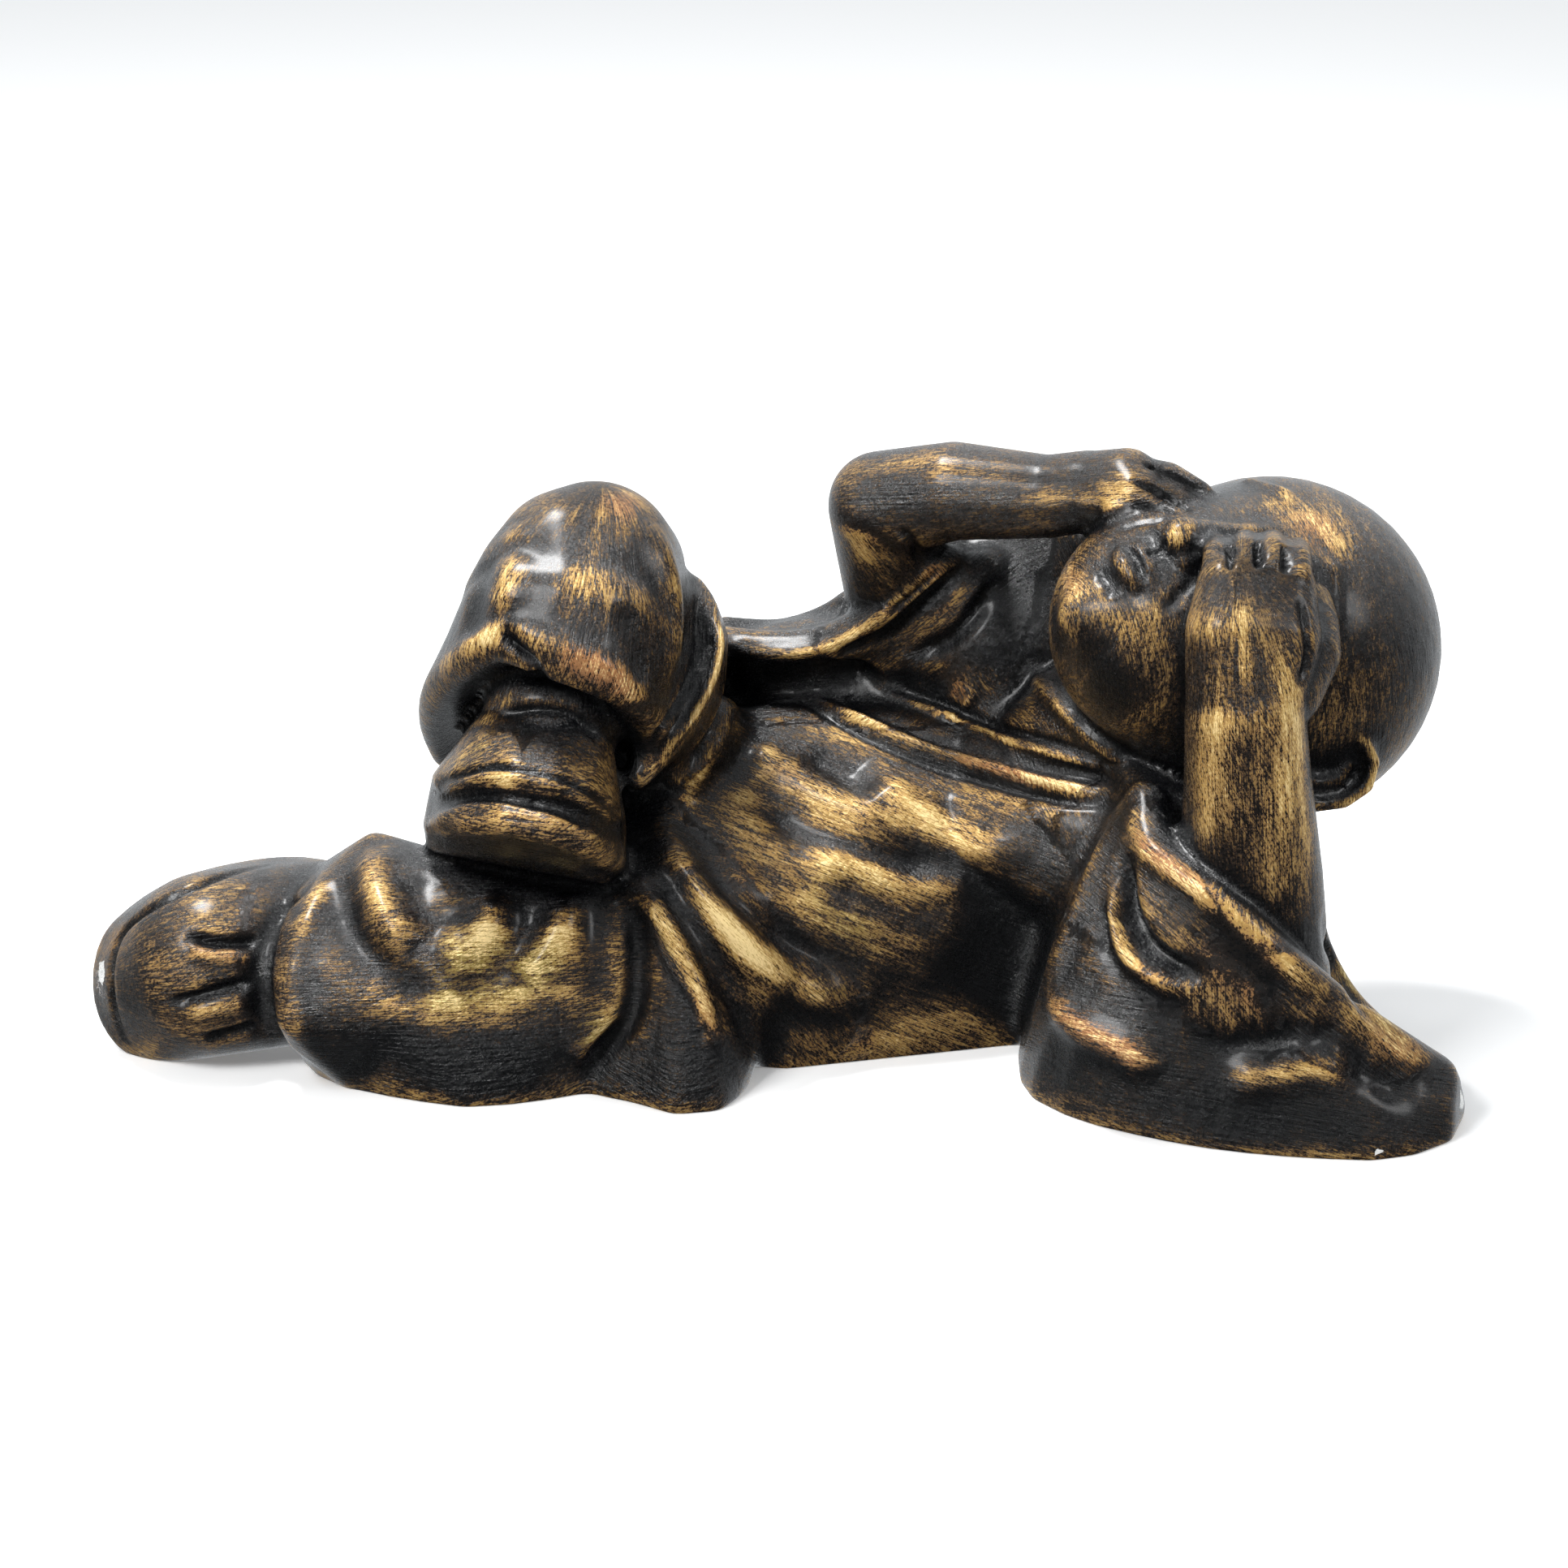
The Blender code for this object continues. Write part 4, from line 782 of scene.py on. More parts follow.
def cutFlat(thing):  # the underside lies flat on the floor
    shape = bmesh.new()
    shape.from_mesh(thing.data)
    everything = shape.verts[:] + shape.edges[:] + shape.faces[:]
    bmesh.ops.bisect_plane(
        shape, geom=everything, plane_co=(0, 0, 0), plane_no=(0, 0, -1), clear_outer=True,
    )
    bmesh.ops.remove_doubles(shape, verts=shape.verts, dist=monk["weld"])
    rim = [edge for edge in shape.edges if edge.is_boundary]
    bmesh.ops.triangle_fill(shape, edges=rim, use_beauty=True, normal=(0, 0, -1))
    bmesh.ops.recalc_face_normals(shape, faces=shape.faces)
    bmesh.ops.triangulate(shape, faces=shape.faces)
    share = monk["triangles"] / len(shape.faces)
    shape.to_mesh(thing.data)
    shape.free()
    return share


def placed(thing):
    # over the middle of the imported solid's box; the camera moves by the same amount
    spots = np.array([spot.co[:] for spot in thing.data.vertices])
    low = Vector(spots.min(0))
    high = Vector(spots.max(0))
    shift = (cadLow + cadHigh - low - high) / 2
    shift.z = cadLow.z - low.z
    thing.data.transform(Matrix.Translation(shift))
    return shift


# coarse things about the skin that the paint follows, kept as attributes
wear = {
    "fineRounds": 8,          # smoothing rounds: small ridges
    "broadRounds": 70,        # and whole folds
    "aroundRounds": 160,      # a form is set against what lies around it
    "around": 0.75,
    "fineFull": 0.30,         # steps of height that count as fully raised
    "broadFull": 2.0,
    "rays": 20,               # a fan of rays at each point finds how sheltered it is
    "reach": 70,
    "rayLift": 0.8,
    "farShare": 0.6,          # a hit at full reach counts this much less than one close by
    "aside": (0.31, 0.77, 0.56),
    "seam": 3,                # steps over which the brush marks fade where two regions meet
}


def smoothed(values, pairs, rounds):
    count = len(values)
    links = np.bincount(pairs.ravel(), minlength=count).astype(float)
    result = values.copy()
    for turn in range(rounds):
        total = np.empty_like(result)
        for axis in range(result.shape[1]):
            column = result[:, axis]
            there = np.bincount(pairs[:, 0], weights=column[pairs[:, 1]], minlength=count)
            back = np.bincount(pairs[:, 1], weights=column[pairs[:, 0]], minlength=count)
            total[:, axis] = (there + back) / links
        result = 0.5 * result + 0.5 * total
    return result


def shelterOf(mesh, spots, normals):
    # how much of the air over each point is closed off by the figure itself
    corners = [spot.co for spot in mesh.vertices]
    tree = BVHTree.FromPolygons(corners, [face.vertices for face in mesh.polygons])
    turn = math.pi * (3 - math.sqrt(5))
    closed = np.zeros(len(spots))
    for index in range(wear["rays"]):
        height = 1 - (index + 0.5) / wear["rays"]
        radius = math.sqrt(1 - height * height)
        way = np.array((math.cos(turn * index) * radius, math.sin(turn * index) * radius, height))
        # the same fan of rays, turned to each point's own normal
        turned = normals * way[2]
        side = np.cross(normals, wear["aside"])
        side /= np.maximum(np.linalg.norm(side, axis=1), 1e-9)[:, None]
        turned = turned + side * way[0] + np.cross(normals, side) * way[1]
        starts = spots + normals * (wear["rayLift"] * step)
        limit = wear["reach"] * step
        for number in range(len(spots)):
            hit = tree.ray_cast(Vector(starts[number]), Vector(turned[number]), limit)
            if hit[3] is not None:
                closed[number] += height * (1 - wear["farShare"] * hit[3] / limit)
    return closed / (wear["rays"] * 0.5)


def addAttribute(mesh, name, values):
    kind = "FLOAT_VECTOR" if values.ndim == 2 else "FLOAT"
    layer = mesh.attributes.new(name, kind, "POINT")
    field = "vector" if values.ndim == 2 else "value"
    layer.data.foreach_set(field, values.astype(np.float32).ravel())


# where the painter's brush ran: a core line, its radius, and what the strokes follow
def brushRegions(skin):
    def between(first, second):  # the way from one drawn point to another, along the skin
        ends = skin.line([first, second])
        return Vector(ends[-1] - ends[0]).normalized()

    down = Vector((0, 0, -1))
    return [
        {"from": seen(212.5, -91.4, -68), "to": seen(207, 82.9, -72), "radius": 29},
        {"from": seen(42.6, 127.7, 72), "to": seen(170.3, 132.1, 12), "radius": 22},
        {"from": at(105, 105, 145), "to": seen(43.7, 119.6, 76), "radius": 26},
        {"from": head(-40, 20, 0), "to": head(0, 0, 0), "radius": 74, "round": crown},
        {"from": seen(-89.5, 116, 0), "to": seen(-119.6, 31.6, -5), "radius": 40},
        {"from": seen(-154.5, -8.8, -45), "to": seen(-79.3, -16.1, -45), "radius": 30},
        {
            "from": at(-30, 30, 50), "to": at(110, 50, 55), "radius": 56,
            "along": between((-13.2, 9.5), (96.9, -30.1)),
        },
        {
            "from": seen(-38.9, -67.5, -40), "to": seen(5.1, -100.6, -30), "radius": 22,
            "along": between((-42.6, -49.9), (13.6, -95.8)),
        },
        {"from": at(-200, 0, 44), "to": at(-60, -5, 48), "radius": 53},
        {"from": at(-290, 0, 36), "to": at(-222, 6, 42), "radius": 40},
        {
            "from": seen(174, -34.5, -80), "to": seen(269.4, -118.9, -95), "radius": 12,
            "along": between((177.6, -49.2), (269.4, -122.6)),
        },
        {
            "from": seen(133.6, -122.6, -85), "to": seen(284.1, -153.8, -105), "radius": 14,
            "along": between((133.6, -129.9), (269.4, -153.8)),
        },
        {
            "from": seen(49.2, 70.1, 85), "to": seen(82.2, 90.3, 85), "radius": 24,
            "along": between((43.7, 72.7), (71.2, 95.4)),
        },
        {
            "from": seen(-22.4, 59.1, 100), "to": seen(34.5, 62.8, 95), "radius": 14,
            "along": between((-22.4, 60.2), (30.8, 66.4)),
        },
        {"from": seen(-31.6, 75.6, 20), "to": seen(-60.9, 5.9, -20), "radius": 9, "along": down},
        {
            "from": at(230, 0, 20), "to": at(250, -50, 20), "radius": 20,
            "along": Vector((0.5, -0.4, -0.7)).normalized(),
        },
    ]


def brushPlaces(skin, spots):
    # for each point: metres along the stroke, metres across it and metres out,
    # and a value that falls to 0 where two regions meet
    best = np.full(len(spots), 1e3)
    nextBest = np.full(len(spots), 1e3)
    places = np.zeros((len(spots), 3))
    for region in brushRegions(skin):
        start = np.array(region["from"]) * step
        core = np.array(region["to"]) * step - start
        share = np.clip((spots - start) @ core / (core @ core), 0, 1)
        off = spots - start - share[:, None] * core
        gap = np.linalg.norm(off, axis=1) - region["radius"] * step
        mine = gap < best
        nextBest = np.where(mine, best, np.minimum(nextBest, gap))
        best[mine] = gap[mine]
        if "along" in region:
            axis = np.array(region["along"])
            side = np.cross(axis, forward)
            side /= np.linalg.norm(side)
            along = spots @ axis
            across = spots @ side
        else:
            axis = np.array(region.get("round", core))
            axis /= np.linalg.norm(axis)
            level = np.cross(axis, (0, 1, 0))
            level /= np.linalg.norm(level)
            arm = spots - start
            angle = np.arctan2(arm @ np.cross(axis, level), arm @ level)
            along = arm @ axis
            across = angle * region["radius"] * step
        if "round" in region:
            along, across = across, along
        places[mine, 0] = along[mine]
        places[mine, 1] = across[mine]
        places[mine, 2] = np.linalg.norm(off, axis=1)[mine]
    return places, np.clip((nextBest - best) / (wear["seam"] * step), 0, 1)


# strokes, listed one by one: a line on the drawing or in space, half its width in steps, its strength
strokes = {
    "gold": [
        # head and hands
        ([(219.8, 71.9), (229, 31.6), (227.2, 2.2), (232.7, -27.2), (229, -67.5)], 12, 0.75),
        ([(203.3, 57.3), (194.1, 24.2), (190.5, -5.1), (196, -45.5)], 9, 0.45),
        ([(207, 86.6), (208.8, 60.9), (212.5, 38.9)], 15, 0.5),
        ([(207, 116), (229, 127), (245.5, 117.8), (254.7, 97.6)], 13, 0.45),
        ([(218, 134.3), (247.4, 119.6), (265.7, 97.6)], 18, 0.25),
        ([(174, 116), (182, 107.9)], 7, 0.5),
        (
            [
                ear(9, -15, 6, 1), ear(20, -8, 6, 1), ear(23, 3, 6, 1), ear(18, 13, 6, 1),
                ear(6, 17, 6, 1), ear(-7, 15, 6, 1),
            ],
            2.5, 0.8,
        ),
        ([(126.2, 101.3), (131.8, 84.8), (150.1, 73.8), (174, 81.1)], 8, 0.45),
        # far arm and its sleeve
        ([(29, 139.8), (49.2, 144.6), (85.9, 142.4), (122.6, 138.7)], 8, 0.4),
        ([(100.6, 129.9), (122.6, 128.4), (144.6, 127), (159.3, 122.6)], 6, 0.55),
        ([(140.9, 138), (159.3, 133.6)], 10, 0.5),
        ([(27.2, 119.6), (34.5, 97.6)], 10, 0.35),
        ([(-24.2, 60.9), (-2.2, 58.7), (23.5, 62.8), (43.7, 75.6), (60.2, 89.5), (73, 100.6)], 4, 0.6),
        ([(56.5, 64.6), (71.2, 75.6), (85.9, 92.1)], 4, 0.4),
        ([(-24.2, 71.2), (-2.2, 70.1), (16.1, 75.6)], 4, 0.5),
        # raised leg
        ([(-117.8, 119.6), (-123.3, 97.6), (-127.7, 73.8)], 5, 0.5),
        ([(-97.6, 127), (-88.4, 97.6), (-95.8, 71.9)], 24, 0.4),
        ([(-60.9, 116), (-51.7, 90.3), (-51.7, 64.6)], 6, 0.45),
        ([(-160, 42.6), (-149, 58), (-127, 68.3), (-105, 62.4), (-81.1, 51.7), (-59.8, 36)], 5, 0.75),
        ([(-30.1, 75.6), (-30.1, 60.9), (-36, 41.8), (-53.6, 13.9), (-64.6, 4)], 3.4, 0.9),
        ([(-127, 24.2), (-127, -12.5)], 9, 0.35),
        ([(-156.3, -7), (-134.3, 1.5), (-97.6, -7)], 5, 0.2),
        # trunk
        ([(-22.4, 22.4), (-5.9, 8.8), (16.1, -4.4), (38.2, -13.6)], 9, 0.55),
        ([(41.8, 2.2), (56.5, -10.6), (74.9, -20.6), (98.7, -27.2)], 9, 0.8),
        ([(32.7, -36), (56.5, -43.3), (80.4, -49.2)], 5, 0.4),
        ([(-35.2, 13.2), (-24.2, -16.1), (-2.2, -34.5)], 20, 0.32),
        ([(-53.6, -27.2), (-40.4, -49.2), (-22.4, -68.3), (-4, -84.8), (18, -94)], 6, 0.78),
        ([(-26.1, 29.7), (-38.2, 13.2), (-45.5, -1.5), (-47.7, -19.8)], 7, 0.4),
        (drawn["lapel"], 3, 0.7),
        ([(41.8, 42.6), (63.9, 34.5), (94.3, 22.4), (121.8, 13.9), (140.2, 8.8)], 3, 0.45),
        # near leg and skirt
        ([(-203.3, -40), (-213.2, -56.5), (-218.7, -74.9)], 5, 0.65),
        ([(-185, -34.5), (-180.2, -60.2)], 7, 0.4),
        ([(-134.3, -49.2), (-132.9, -60.2), (-139.8, -71.2)], 7, 0.55),
        ([(-101.3, -49.2), (-99.8, -60.2), (-108.6, -73)], 8, 0.62),
        ([(-189.4, -78.5), (-149, -85.9), (-97.6, -85.9)], 26, 0.35),
        ([(-67.9, -48.4), (-56.5, -60.2), (-47, -78.5), (-38.2, -96.9), (-33, -118.9)], 4, 0.85),
        ([(-75.6, -100.6), (-84.8, -115.2), (-92.1, -122.6)], 5, 0.6),
        # near sleeve
        (drawn["sleeveRim"], 5, 0.6),
        (drawn["sleeveTip"], 7, 0.5),
        ([(151.2, -49.2), (152.7, -67.5), (161.1, -82.2), (177.6, -88.1)], 4, 0.8),
        ([(118.9, -95.1), (133.6, -108.6), (151.9, -118.2), (171, -130.7)], 5, 0.55),
        (drawn["sleeveFoot"], 5, 0.35),
        ([(247.4, -78.5), (265.7, -100.6), (284.1, -118.9)], 8, 0.45),
        # near foot
        (drawn["upperToe"], 4, 0.40),
        (drawn["lowerToe"], 4, 0.25),
        ([(-248.1, -45.5), (-229.7, -52.8)], 8, 0.3),
        # wide fields of scattered scratches
        ([(-24.2, 13.2), (-2.2, -19.8), (34.5, -41.8), (78.5, -52.8)], 38, 0.50),
        ([(23.5, 27.9), (67.5, 2.2), (133.6, -16.1)], 22, 0.35),
        ([(-42.6, -60.2), (-24.2, -85.9), (5.1, -100.6)], 22, 0.45),
        ([(-185.7, -60.2), (-141.7, -78.5), (-90.3, -78.5)], 34, 0.30),
        ([(210.7, 112.3), (214.3, 24.2), (218, -52.8)], 26, 0.20),
        ([(177.6, -56.5), (218, -93.2), (276.7, -133.6)], 24, 0.30),
        # hidden side
        (drawn["backFold"], 7, 0.6),
        (drawn["lowBackFold"], 7, 0.5),
        (drawn["shoulderFold"], 7, 0.5),
    ],
    "copper": [
        ([(-82.9, 134.3), (-64.6, 119.6)], 14, 0.9),
        ([(-105, 60.9), (-81.1, 49.9), (-60.9, 37.1)], 8, 0.8),
        ([(-156.3, -16.1), (-134.3, -11), (-97.6, -19.8), (-81.1, -30.8)], 7, 0.55),
        ([(71.2, 42.6), (85.9, 42.6)], 10, 1.0),
        ([(155.6, -16.1), (166.6, -30.8), (196, -52.8)], 6, 0.8),
        ([(196, -71.2), (225.3, -100.6)], 16, 0.6),
        ([(63.9, 15), (94.3, 5.9), (148.3, -4.4)], 6, 0.8),
        ([(254.7, -104.2), (291.4, -129.9)], 10, 0.4),
        ([(126.2, 101.3), (133.6, 82.9)], 10, 0.6),
        ([(232.7, 124.8), (247.4, 101.3)], 14, 0.5),
        ([(-275.6, -71.2), (-237.8, -79.3)], 9, 0.45),
        ([(60.2, 90.3), (73, 100.6)], 7, 0.7),
        ([(115.2, -96.9), (171, -130.7)], 9, 0.45),
        ([(210.7, -144.6), (251, -144.6)], 8, 0.6),
        ([(-38.9, -85.9), (-31.6, -118.9)], 6, 0.6),
        ([(30.8, 112.3), (49.2, 101.3)], 14, 0.5),
        ([(-13.2, 13.2), (16.1, -3.3)], 8, 0.5),
        ([(-156.3, 46.2), (-149, 56.5)], 7, 0.5),
    ],
    "olive": [
        ([(-182, -85.9), (-141.7, -85.9), (-90.3, -82.2)], 26, 0.9),
        ([(-97.6, -104.2), (-82.9, -118.9)], 14, 0.8),
        ([(-9.5, -45.5), (27.2, -60.2), (12.5, -100.6)], 26, 0.7),
        ([(-145.3, 16.9), (-134.3, 13.2)], 14, 0.6),
        ([(-68.3, -52.8), (-47, -85.9)], 7, 0.7),
        ([(247.4, -78.5), (284.1, -118.9)], 10, 0.6),
    ],
    "chip": [
        ([(-308.3, -78.5), (-308.6, -84.4), (-309, -91)], 3.0, 1.7),
        ([(305.3, -140.2), (307.5, -145.3)], 2.4, 1.6),
        ([(266.4, -165.9), (269.4, -167.4)], 1.6, 1.3),
    ],
    # painted shade: patches where shade falls (under the chin, under the shoe, along the floor, in the
    # recesses under the sleeves, the far side of the skull) are kept bare of gold and stay black
    "paintedShade": [
        ([(98.7, 101.3), (100.6, 75.6), (107.9, 49.9)], 16, 1.0),
        ([(137.3, 49.9), (159.3, 31.6)], 18, 1.0),
        (drawn["side"], 22, 0.9),
        ([(284.1, 97.6), (287.7, 42.6)], 22, 0.5),
        ([(-163.7, -27.9), (-119.6, -34.5), (-79.3, -44.8)], 9, 0.8),
        ([(-145.3, 90.3), (-153.4, 60.9)], 9, 0.5),
        ([(-196.7, -118.9), (-134.3, -129.9), (-90.3, -126.2)], 12, 0.7),
        ([(122.6, -133.6), (196, -151.9), (269.4, -157.4)], 7, 0.5),
        ([(-24.2, 49.9), (34.5, 48.1)], 8, 1.0),
        ([(196, -118.9), (247.4, -118.9)], 6, 0.5),
    ],
}


def stroked(skin, entries):
    amount = np.zeros(len(skin.spots))
    for marks, wide, strength in entries:
        chosen, nearest, share = skin.gaps(marks, 3 * wide * step)
        soft = 1 - np.clip(2 * np.abs(share - 0.5), 0, 1) ** 3
        amount[chosen] += strength * soft * np.exp(-(nearest / (wide * step)) ** 2)
    return amount


def addWear(thing):
    mesh = thing.data
    skin = Carving(thing)
    pairs = np.empty(len(mesh.edges) * 2, np.int32)
    mesh.edges.foreach_get("vertices", pairs)
    pairs = pairs.reshape(-1, 2)
    fine = smoothed(skin.spots, pairs, wear["fineRounds"])
    broad = smoothed(fine, pairs, wear["broadRounds"])
    ridges = {"fineRidge": (fine, wear["fineFull"]), "broadRidge": (broad, wear["broadFull"])}
    for name, (rounded, full) in ridges.items():
        height = ((skin.spots - rounded) * skin.out).sum(1, keepdims=True) / (full * step)
        height -= wear["around"] * smoothed(height, pairs, wear["aroundRounds"])
        addAttribute(mesh, name, np.tanh(height[:, 0]))
    # how closed in each point is by the figure; the paint uses it both for the hollows a dry brush
    # misses and as painted shade under and between parts
    shelterShade = shelterOf(mesh, skin.spots, skin.out)
    addAttribute(mesh, "shelterShade", shelterShade)
    places, steady = brushPlaces(skin, skin.spots)
    addAttribute(mesh, "brush", places)
    addAttribute(mesh, "steady", steady)
    for name, entries in strokes.items():
        addAttribute(mesh, name, stroked(skin, entries))
    print("wear measured")


class Wire:
    # a socket that can be used in sums
    def __init__(self, paint, socket):
        self.paint = paint
        self.socket = socket

    def math(self, operation, *others):
        return self.paint.node("ShaderNodeMath", {"operation": operation}, [self, *others])

    def __add__(self, other):
        return self.math("ADD", other)

    __radd__ = __add__

    def __mul__(self, other):
        return self.math("MULTIPLY", other)

    __rmul__ = __mul__

    def __sub__(self, other):
        return self.math("SUBTRACT", other)

    def __rsub__(self, other):
        return self.paint.node("ShaderNodeMath", {"operation": "SUBTRACT"}, [other, self])

    def over(self, low, high):
        # 0 below low, 1 above high, smooth between
        settings = {"interpolation_type": "SMOOTHSTEP", "clamp": True}
        inputs = {"Value": self, "From Min": low, "From Max": high}
        return self.paint.node("ShaderNodeMapRange", settings, inputs)

    def line(self, sharpness):
        # 1 where a noise passes through zero and 0 away from it, which draws thin lines
        return (1 - self.math("ABSOLUTE") * sharpness).clamped()

    def clamped(self):
        return self.paint.node("ShaderNodeClamp", {}, [self, 0.0, 1.0])

    def atLeast(self, other):
        return self.math("MAXIMUM", other)


class Paint:
    # the nodes of a material or of the world
    def __init__(self, holder):
        holder.use_nodes = True
        self.holder = holder
        self.tree = holder.node_tree
        self.tree.nodes.clear()

    def node(self, kind, settings, inputs=None, output=0):
        made = self.tree.nodes.new(kind)
        for key, value in settings.items():
            setattr(made, key, value)
        entries = inputs.items() if isinstance(inputs, dict) else enumerate(inputs or [])
        for key, value in entries:
            if isinstance(value, Wire):
                self.tree.links.new(value.socket, made.inputs[key])
            else:
                made.inputs[key].default_value = value
        return Wire(self, made.outputs[output]) if made.outputs else made

    def attribute(self, name, output="Fac"):
        return self.node("ShaderNodeAttribute", {"attribute_name": name}, output=output)

    def noise(self, place, scale, detail=4, roughness=0.6, distortion=0.0):
        inputs = {
            "Vector": place, "Scale": scale, "Detail": detail, "Roughness": roughness,
            "Distortion": distortion,
        }
        return self.node("ShaderNodeTexNoise", {}, inputs, output="Fac")

    def scaled(self, place, sizes):
        return self.node("ShaderNodeVectorMath", {"operation": "MULTIPLY"}, [place, sizes])

    def mix(self, factor, first, second):
        colours = {0: factor, 6: first, 7: second}
        return self.node("ShaderNodeMix", {"data_type": "RGBA", "clamp_factor": True}, colours, output=2)


patina = {
    "black": (0.0024, 0.0028, 0.0034, 1),
    "brown": (0.030, 0.017, 0.0090, 1),
    "gold": (0.52, 0.315, 0.085, 1),
    "paleGold": (0.92, 0.70, 0.33, 1),
    "copper": (0.36, 0.155, 0.052, 1),
    "olive": (0.26, 0.19, 0.035, 1),
    "plaster": (0.72, 0.72, 0.70, 1),
    "hairs": (45, 1000, 60),      # brush hairs: along, across and out, per metre
    "fineHairs": (120, 2200, 140),
    "slant": 0.38,                # a second set of hairs runs askew, in radians
    "passes": (12, 110, 25),      # whole passes of the brush
    "roughness": 0.28,
    "metallic": 0.35,
    "hairRelief": 0.0015,
    "specular": 0.50,
    "varnish": 0.24,
    "varnishRoughness": 0.22,
    "blotch": (24, 5, 0.68),      # noises: scale, detail and roughness
    "grit": (700, 3, 0.75),
    "dents": (150, 4, 0.6),
    "tintWarm": (9, 2, 0.5),
    "tintGreen": (11, 2, 0.5),
}

# what makes the dry brush leave metal at a point, or miss it, and the painted shade that takes metal
# away
brushAndShade = {
    "gold": 0.70,
    "copper": 0.34,
    "olive": 0.36,
    # painted shade: how much metal the listed shade patches take away
    "paintedShade": 0.75,
    "fineRidge": 0.14,
    "broadRidge": 0.30,
    # less metal where the figure shelters a point: partly hollows the brush misses, partly painted shade
    "shelterShade": 0.75,
    "passes": 0.45,
    "blotch": 1.1,
    "reserve": 0.17,
}

# how deep each mark is in the relief of the paint
paintRelief = {
    "hairs": 0.75,
    "skewHairs": 0.35,
    "fineHairs": 0.20,
    "grit": 0.30,
    "dents": 0.7,
    "metal": 0.05,
}


def patinaMaterial():
    paint = Paint(bpy.data.materials.new("bronzed_patina"))
    brush = paint.attribute("brush", "Vector")
    place = paint.node("ShaderNodeTexCoord", {}, output="Object")
    fine = paint.attribute("fineRidge")
    broad = paint.attribute("broadRidge")
    shelterShade = paint.attribute("shelterShade")
    gold = paint.attribute("gold")
    copper = paint.attribute("copper")
    olive = paint.attribute("olive")
    paintedShade = paint.attribute("paintedShade")
    chip = paint.attribute("chip")
    steady = paint.attribute("steady")

    turned = {"Vector": brush, "Angle": patina["slant"]}
    askew = paint.node("ShaderNodeVectorRotate", {"rotation_type": "Z_AXIS"}, turned)
    hairs = steady * (paint.noise(paint.scaled(brush, patina["hairs"]), 1.0, 3, 0.7) - 0.5)
    skewHairs = steady * (paint.noise(paint.scaled(askew, patina["hairs"]), 1.0, 3, 0.7) - 0.5)
    fineHairs = steady * (paint.noise(paint.scaled(brush, patina["fineHairs"]), 1.0, 2, 0.6) - 0.5)
    passes = paint.noise(paint.scaled(brush, patina["passes"]), 1.0, 3, 0.6)
    blotch = paint.noise(place, *patina["blotch"])
    grit = paint.noise(place, *patina["grit"])
    dents = paint.noise(place, *patina["dents"])

    # a dry brush touches what stands out and misses hollows; less metal in sheltered places and in the
    # listed patches is painted shade
    uneven = 0.50 + 0.85 * passes.over(0.36, 0.64)
    laid = brushAndShade["gold"] * gold + brushAndShade["copper"] * copper + brushAndShade["olive"] * olive
    touchLessShade = laid * uneven - brushAndShade["paintedShade"] * paintedShade
    touchLessShade = touchLessShade + brushAndShade["fineRidge"] * fine + brushAndShade["broadRidge"] * broad - brushAndShade["reserve"]
    touchLessShade = touchLessShade + brushAndShade["passes"] * (passes - 0.5) + brushAndShade["blotch"] * (blotch - 0.5)
    touchLessShade = touchLessShade - brushAndShade["shelterShade"] * shelterShade.over(0.10, 0.75)
    lines = steady * (0.55 * hairs.line(9) + 0.45 * skewHairs.line(10))
    lines = lines + 1.1 * fineHairs + 1.9 * (grit - 0.5)
    film = (touchLessShade + 0.6 * lines).over(-0.20, 1.0)
    metal = (touchLessShade + lines).over(0.66, 0.90)
    bright = (touchLessShade + lines).over(1.10, 1.75)

    tint = paint.noise(place, *patina["tintWarm"]) - 0.47
    warm = (0.8 * copper + 1.6 * tint - 0.5 * bright).over(0.1, 0.75)
    tint = paint.noise(place, *patina["tintGreen"]) - 0.54
    green = (0.95 * olive + 1.0 * tint).over(0.15, 0.8)
    metalColour = paint.mix(green, patina["gold"], patina["olive"])
    thin = 1 - (touchLessShade + lines).over(0.70, 1.05)
    metalColour = paint.mix(warm.atLeast(thin), metalColour, patina["copper"])
    metalColour = paint.mix(bright * (1 - 0.6 * warm), metalColour, patina["paleGold"])
    base = paint.mix(film * 0.85, patina["black"], patina["brown"])
    colour = paint.mix(metal * (0.30 + 0.65 * touchLessShade.over(-0.3, 0.8)), base, metalColour)
    chipped = (chip + 0.8 * (grit - 0.5)).over(0.45, 0.60)
    colour = paint.mix(chipped, colour, patina["plaster"])

    rough = patina["roughness"] + 0.25 * (blotch - 0.5) + 0.3 * (grit - 0.5) + 0.10 * metal
    relief = hairs * paintRelief["hairs"] + skewHairs * paintRelief["skewHairs"]
    relief = relief + fineHairs * paintRelief["fineHairs"] + grit * paintRelief["grit"]
    relief = relief + dents * paintRelief["dents"] + metal * paintRelief["metal"]
    depth = {"Strength": 1.0, "Distance": patina["hairRelief"], "Height": relief}
    bump = paint.node("ShaderNodeBump", {}, depth)
    shader = paint.node("ShaderNodeBsdfPrincipled", {}, {
        "Base Color": colour,
        "Metallic": metal * (1 - chipped) * patina["metallic"],
        "Roughness": rough,
        "Normal": bump,
        "Specular IOR Level": patina["specular"],
        "Coat Weight": patina["varnish"],
        "Coat Roughness": patina["varnishRoughness"],
    })
    paint.node("ShaderNodeOutputMaterial", {}, {"Surface": shader})
    return paint.holder


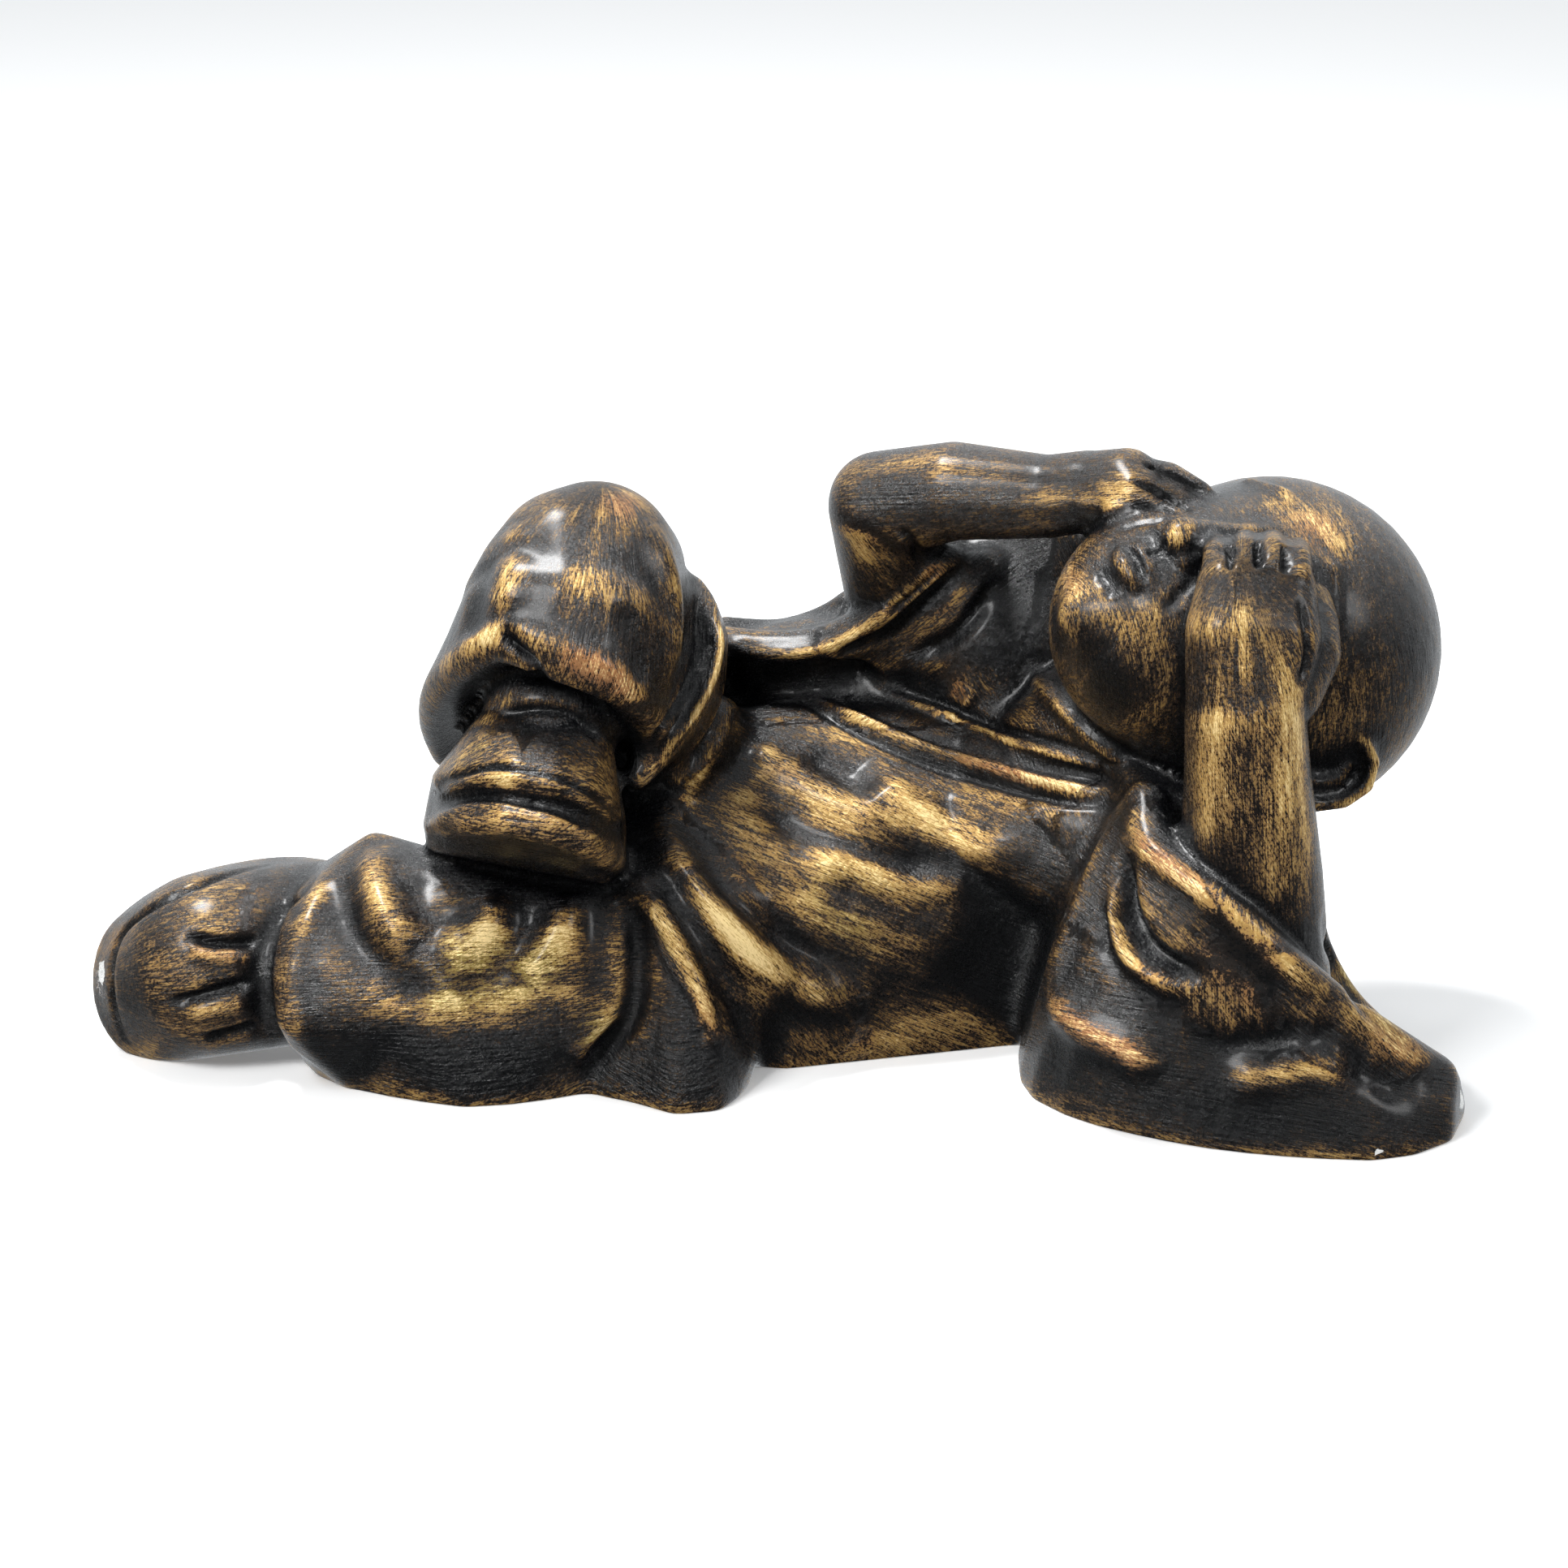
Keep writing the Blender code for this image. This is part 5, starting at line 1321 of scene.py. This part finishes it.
studio = {
    "floorHalf": 9.0,
    "floorColour": (0.95, 0.95, 0.95, 1),
    "floorGlow": 0.20,
    "floorGap": 0.0004,   # the floor lies this far under the figure
    "skyLow": 0.05,       # towards the camera
    "skyHigh": 0.50,      # overhead
    "skyBack": 1.00,      # the pale backdrop
    "skyUp": (0.30, 0.90),   # how high a way points where overhead begins and is full
    "skyFar": (0.20, 0.85),  # how far back a way points where the backdrop begins and is full
    "skyColour": (0.93, 0.97, 1.0, 1),
    "lampAim": 0.12,      # height that the lamps point at
    "lamps": {
        "topLamp": {"at": (-0.5, 0.25, 1.9), "wide": 0.45, "power": 56},
        "leftLamp": {"at": (-1.0, -1.2, 1.6), "wide": 0.7, "power": 36},
        "rightLamp": {"at": (1.5, -0.7, 1.1), "wide": 0.5, "power": 9},
    },
}


def addStudio(shift):
    half = studio["floorHalf"]
    mesh = bpy.data.meshes.new("floor")
    rim = [(-half, -half, 0), (half, -half, 0), (half, half, 0), (-half, half, 0)]
    mesh.from_pydata(rim, [], [(0, 1, 2, 3)])
    floor = bpy.data.objects.new("floor", mesh)
    bpy.context.scene.collection.objects.link(floor)
    paint = Paint(bpy.data.materials.new("paper"))
    shader = paint.node("ShaderNodeBsdfPrincipled", {}, {
        "Base Color": studio["floorColour"],
        "Roughness": 0.9,
        "Specular IOR Level": 0.0,
        "Emission Color": studio["floorColour"],
        "Emission Strength": studio["floorGlow"],
    })
    paint.node("ShaderNodeOutputMaterial", {}, {"Surface": shader})
    mesh.materials.append(paint.holder)
    floor.location.z = cadLow.z - studio["floorGap"]
    floor.visible_glossy = False  # the photo's black paint hardly mirrors the floor

    world = bpy.data.worlds.new("studio")
    bpy.context.scene.world = world
    dome = Paint(world)
    way = dome.node("ShaderNodeTexCoord", {}, output="Generated")
    up = dome.node("ShaderNodeSeparateXYZ", {}, [way], output="Z").over(*studio["skyUp"])
    back = dome.node("ShaderNodeSeparateXYZ", {}, [way], output="Y").over(*studio["skyFar"])
    light = studio["skyLow"] + studio["skyHigh"] * up + studio["skyBack"] * back
    sky = dome.node("ShaderNodeBackground", {}, {"Color": studio["skyColour"], "Strength": light})
    dome.node("ShaderNodeOutputWorld", {}, {"Surface": sky})

    middle = Vector((0, 0, studio["lampAim"]))
    for name, entry in studio["lamps"].items():
        bulb = bpy.data.lights.new(name, "AREA")
        bulb.size = entry["wide"]
        bulb.energy = entry["power"]
        lamp = bpy.data.objects.new(name, bulb)
        lamp.location = entry["at"]
        lamp.rotation_mode = "QUATERNION"
        lamp.rotation_quaternion = (middle - lamp.location).to_track_quat("-Z", "Y")
        bpy.context.scene.collection.objects.link(lamp)

    lens = bpy.data.cameras.new("camera")
    lens.lens = view["lens"]
    lens.sensor_width = view["sensor"]
    camera = bpy.data.objects.new("camera", lens)
    camera.location = eye * step + shift
    camera.rotation_mode = "QUATERNION"
    camera.rotation_quaternion = forward.to_track_quat("-Z", "Y")
    bpy.context.scene.collection.objects.link(camera)
    bpy.context.scene.camera = camera
    bpy.context.scene.view_settings.view_transform = "Standard"


figure = build()
share = cutFlat(figure)
fewer = figure.modifiers.new("fewer", "DECIMATE")
fewer.ratio = share
figure = settled(figure, "monk")
figure.data.name = "monk"
print("triangles", len(figure.data.polygons))
addWear(figure)
shift = placed(figure)
figure.data.materials.append(patinaMaterial())
figure.data.shade_smooth()
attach(figure, "root")
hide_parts("reclining_monk")
addStudio(shift)
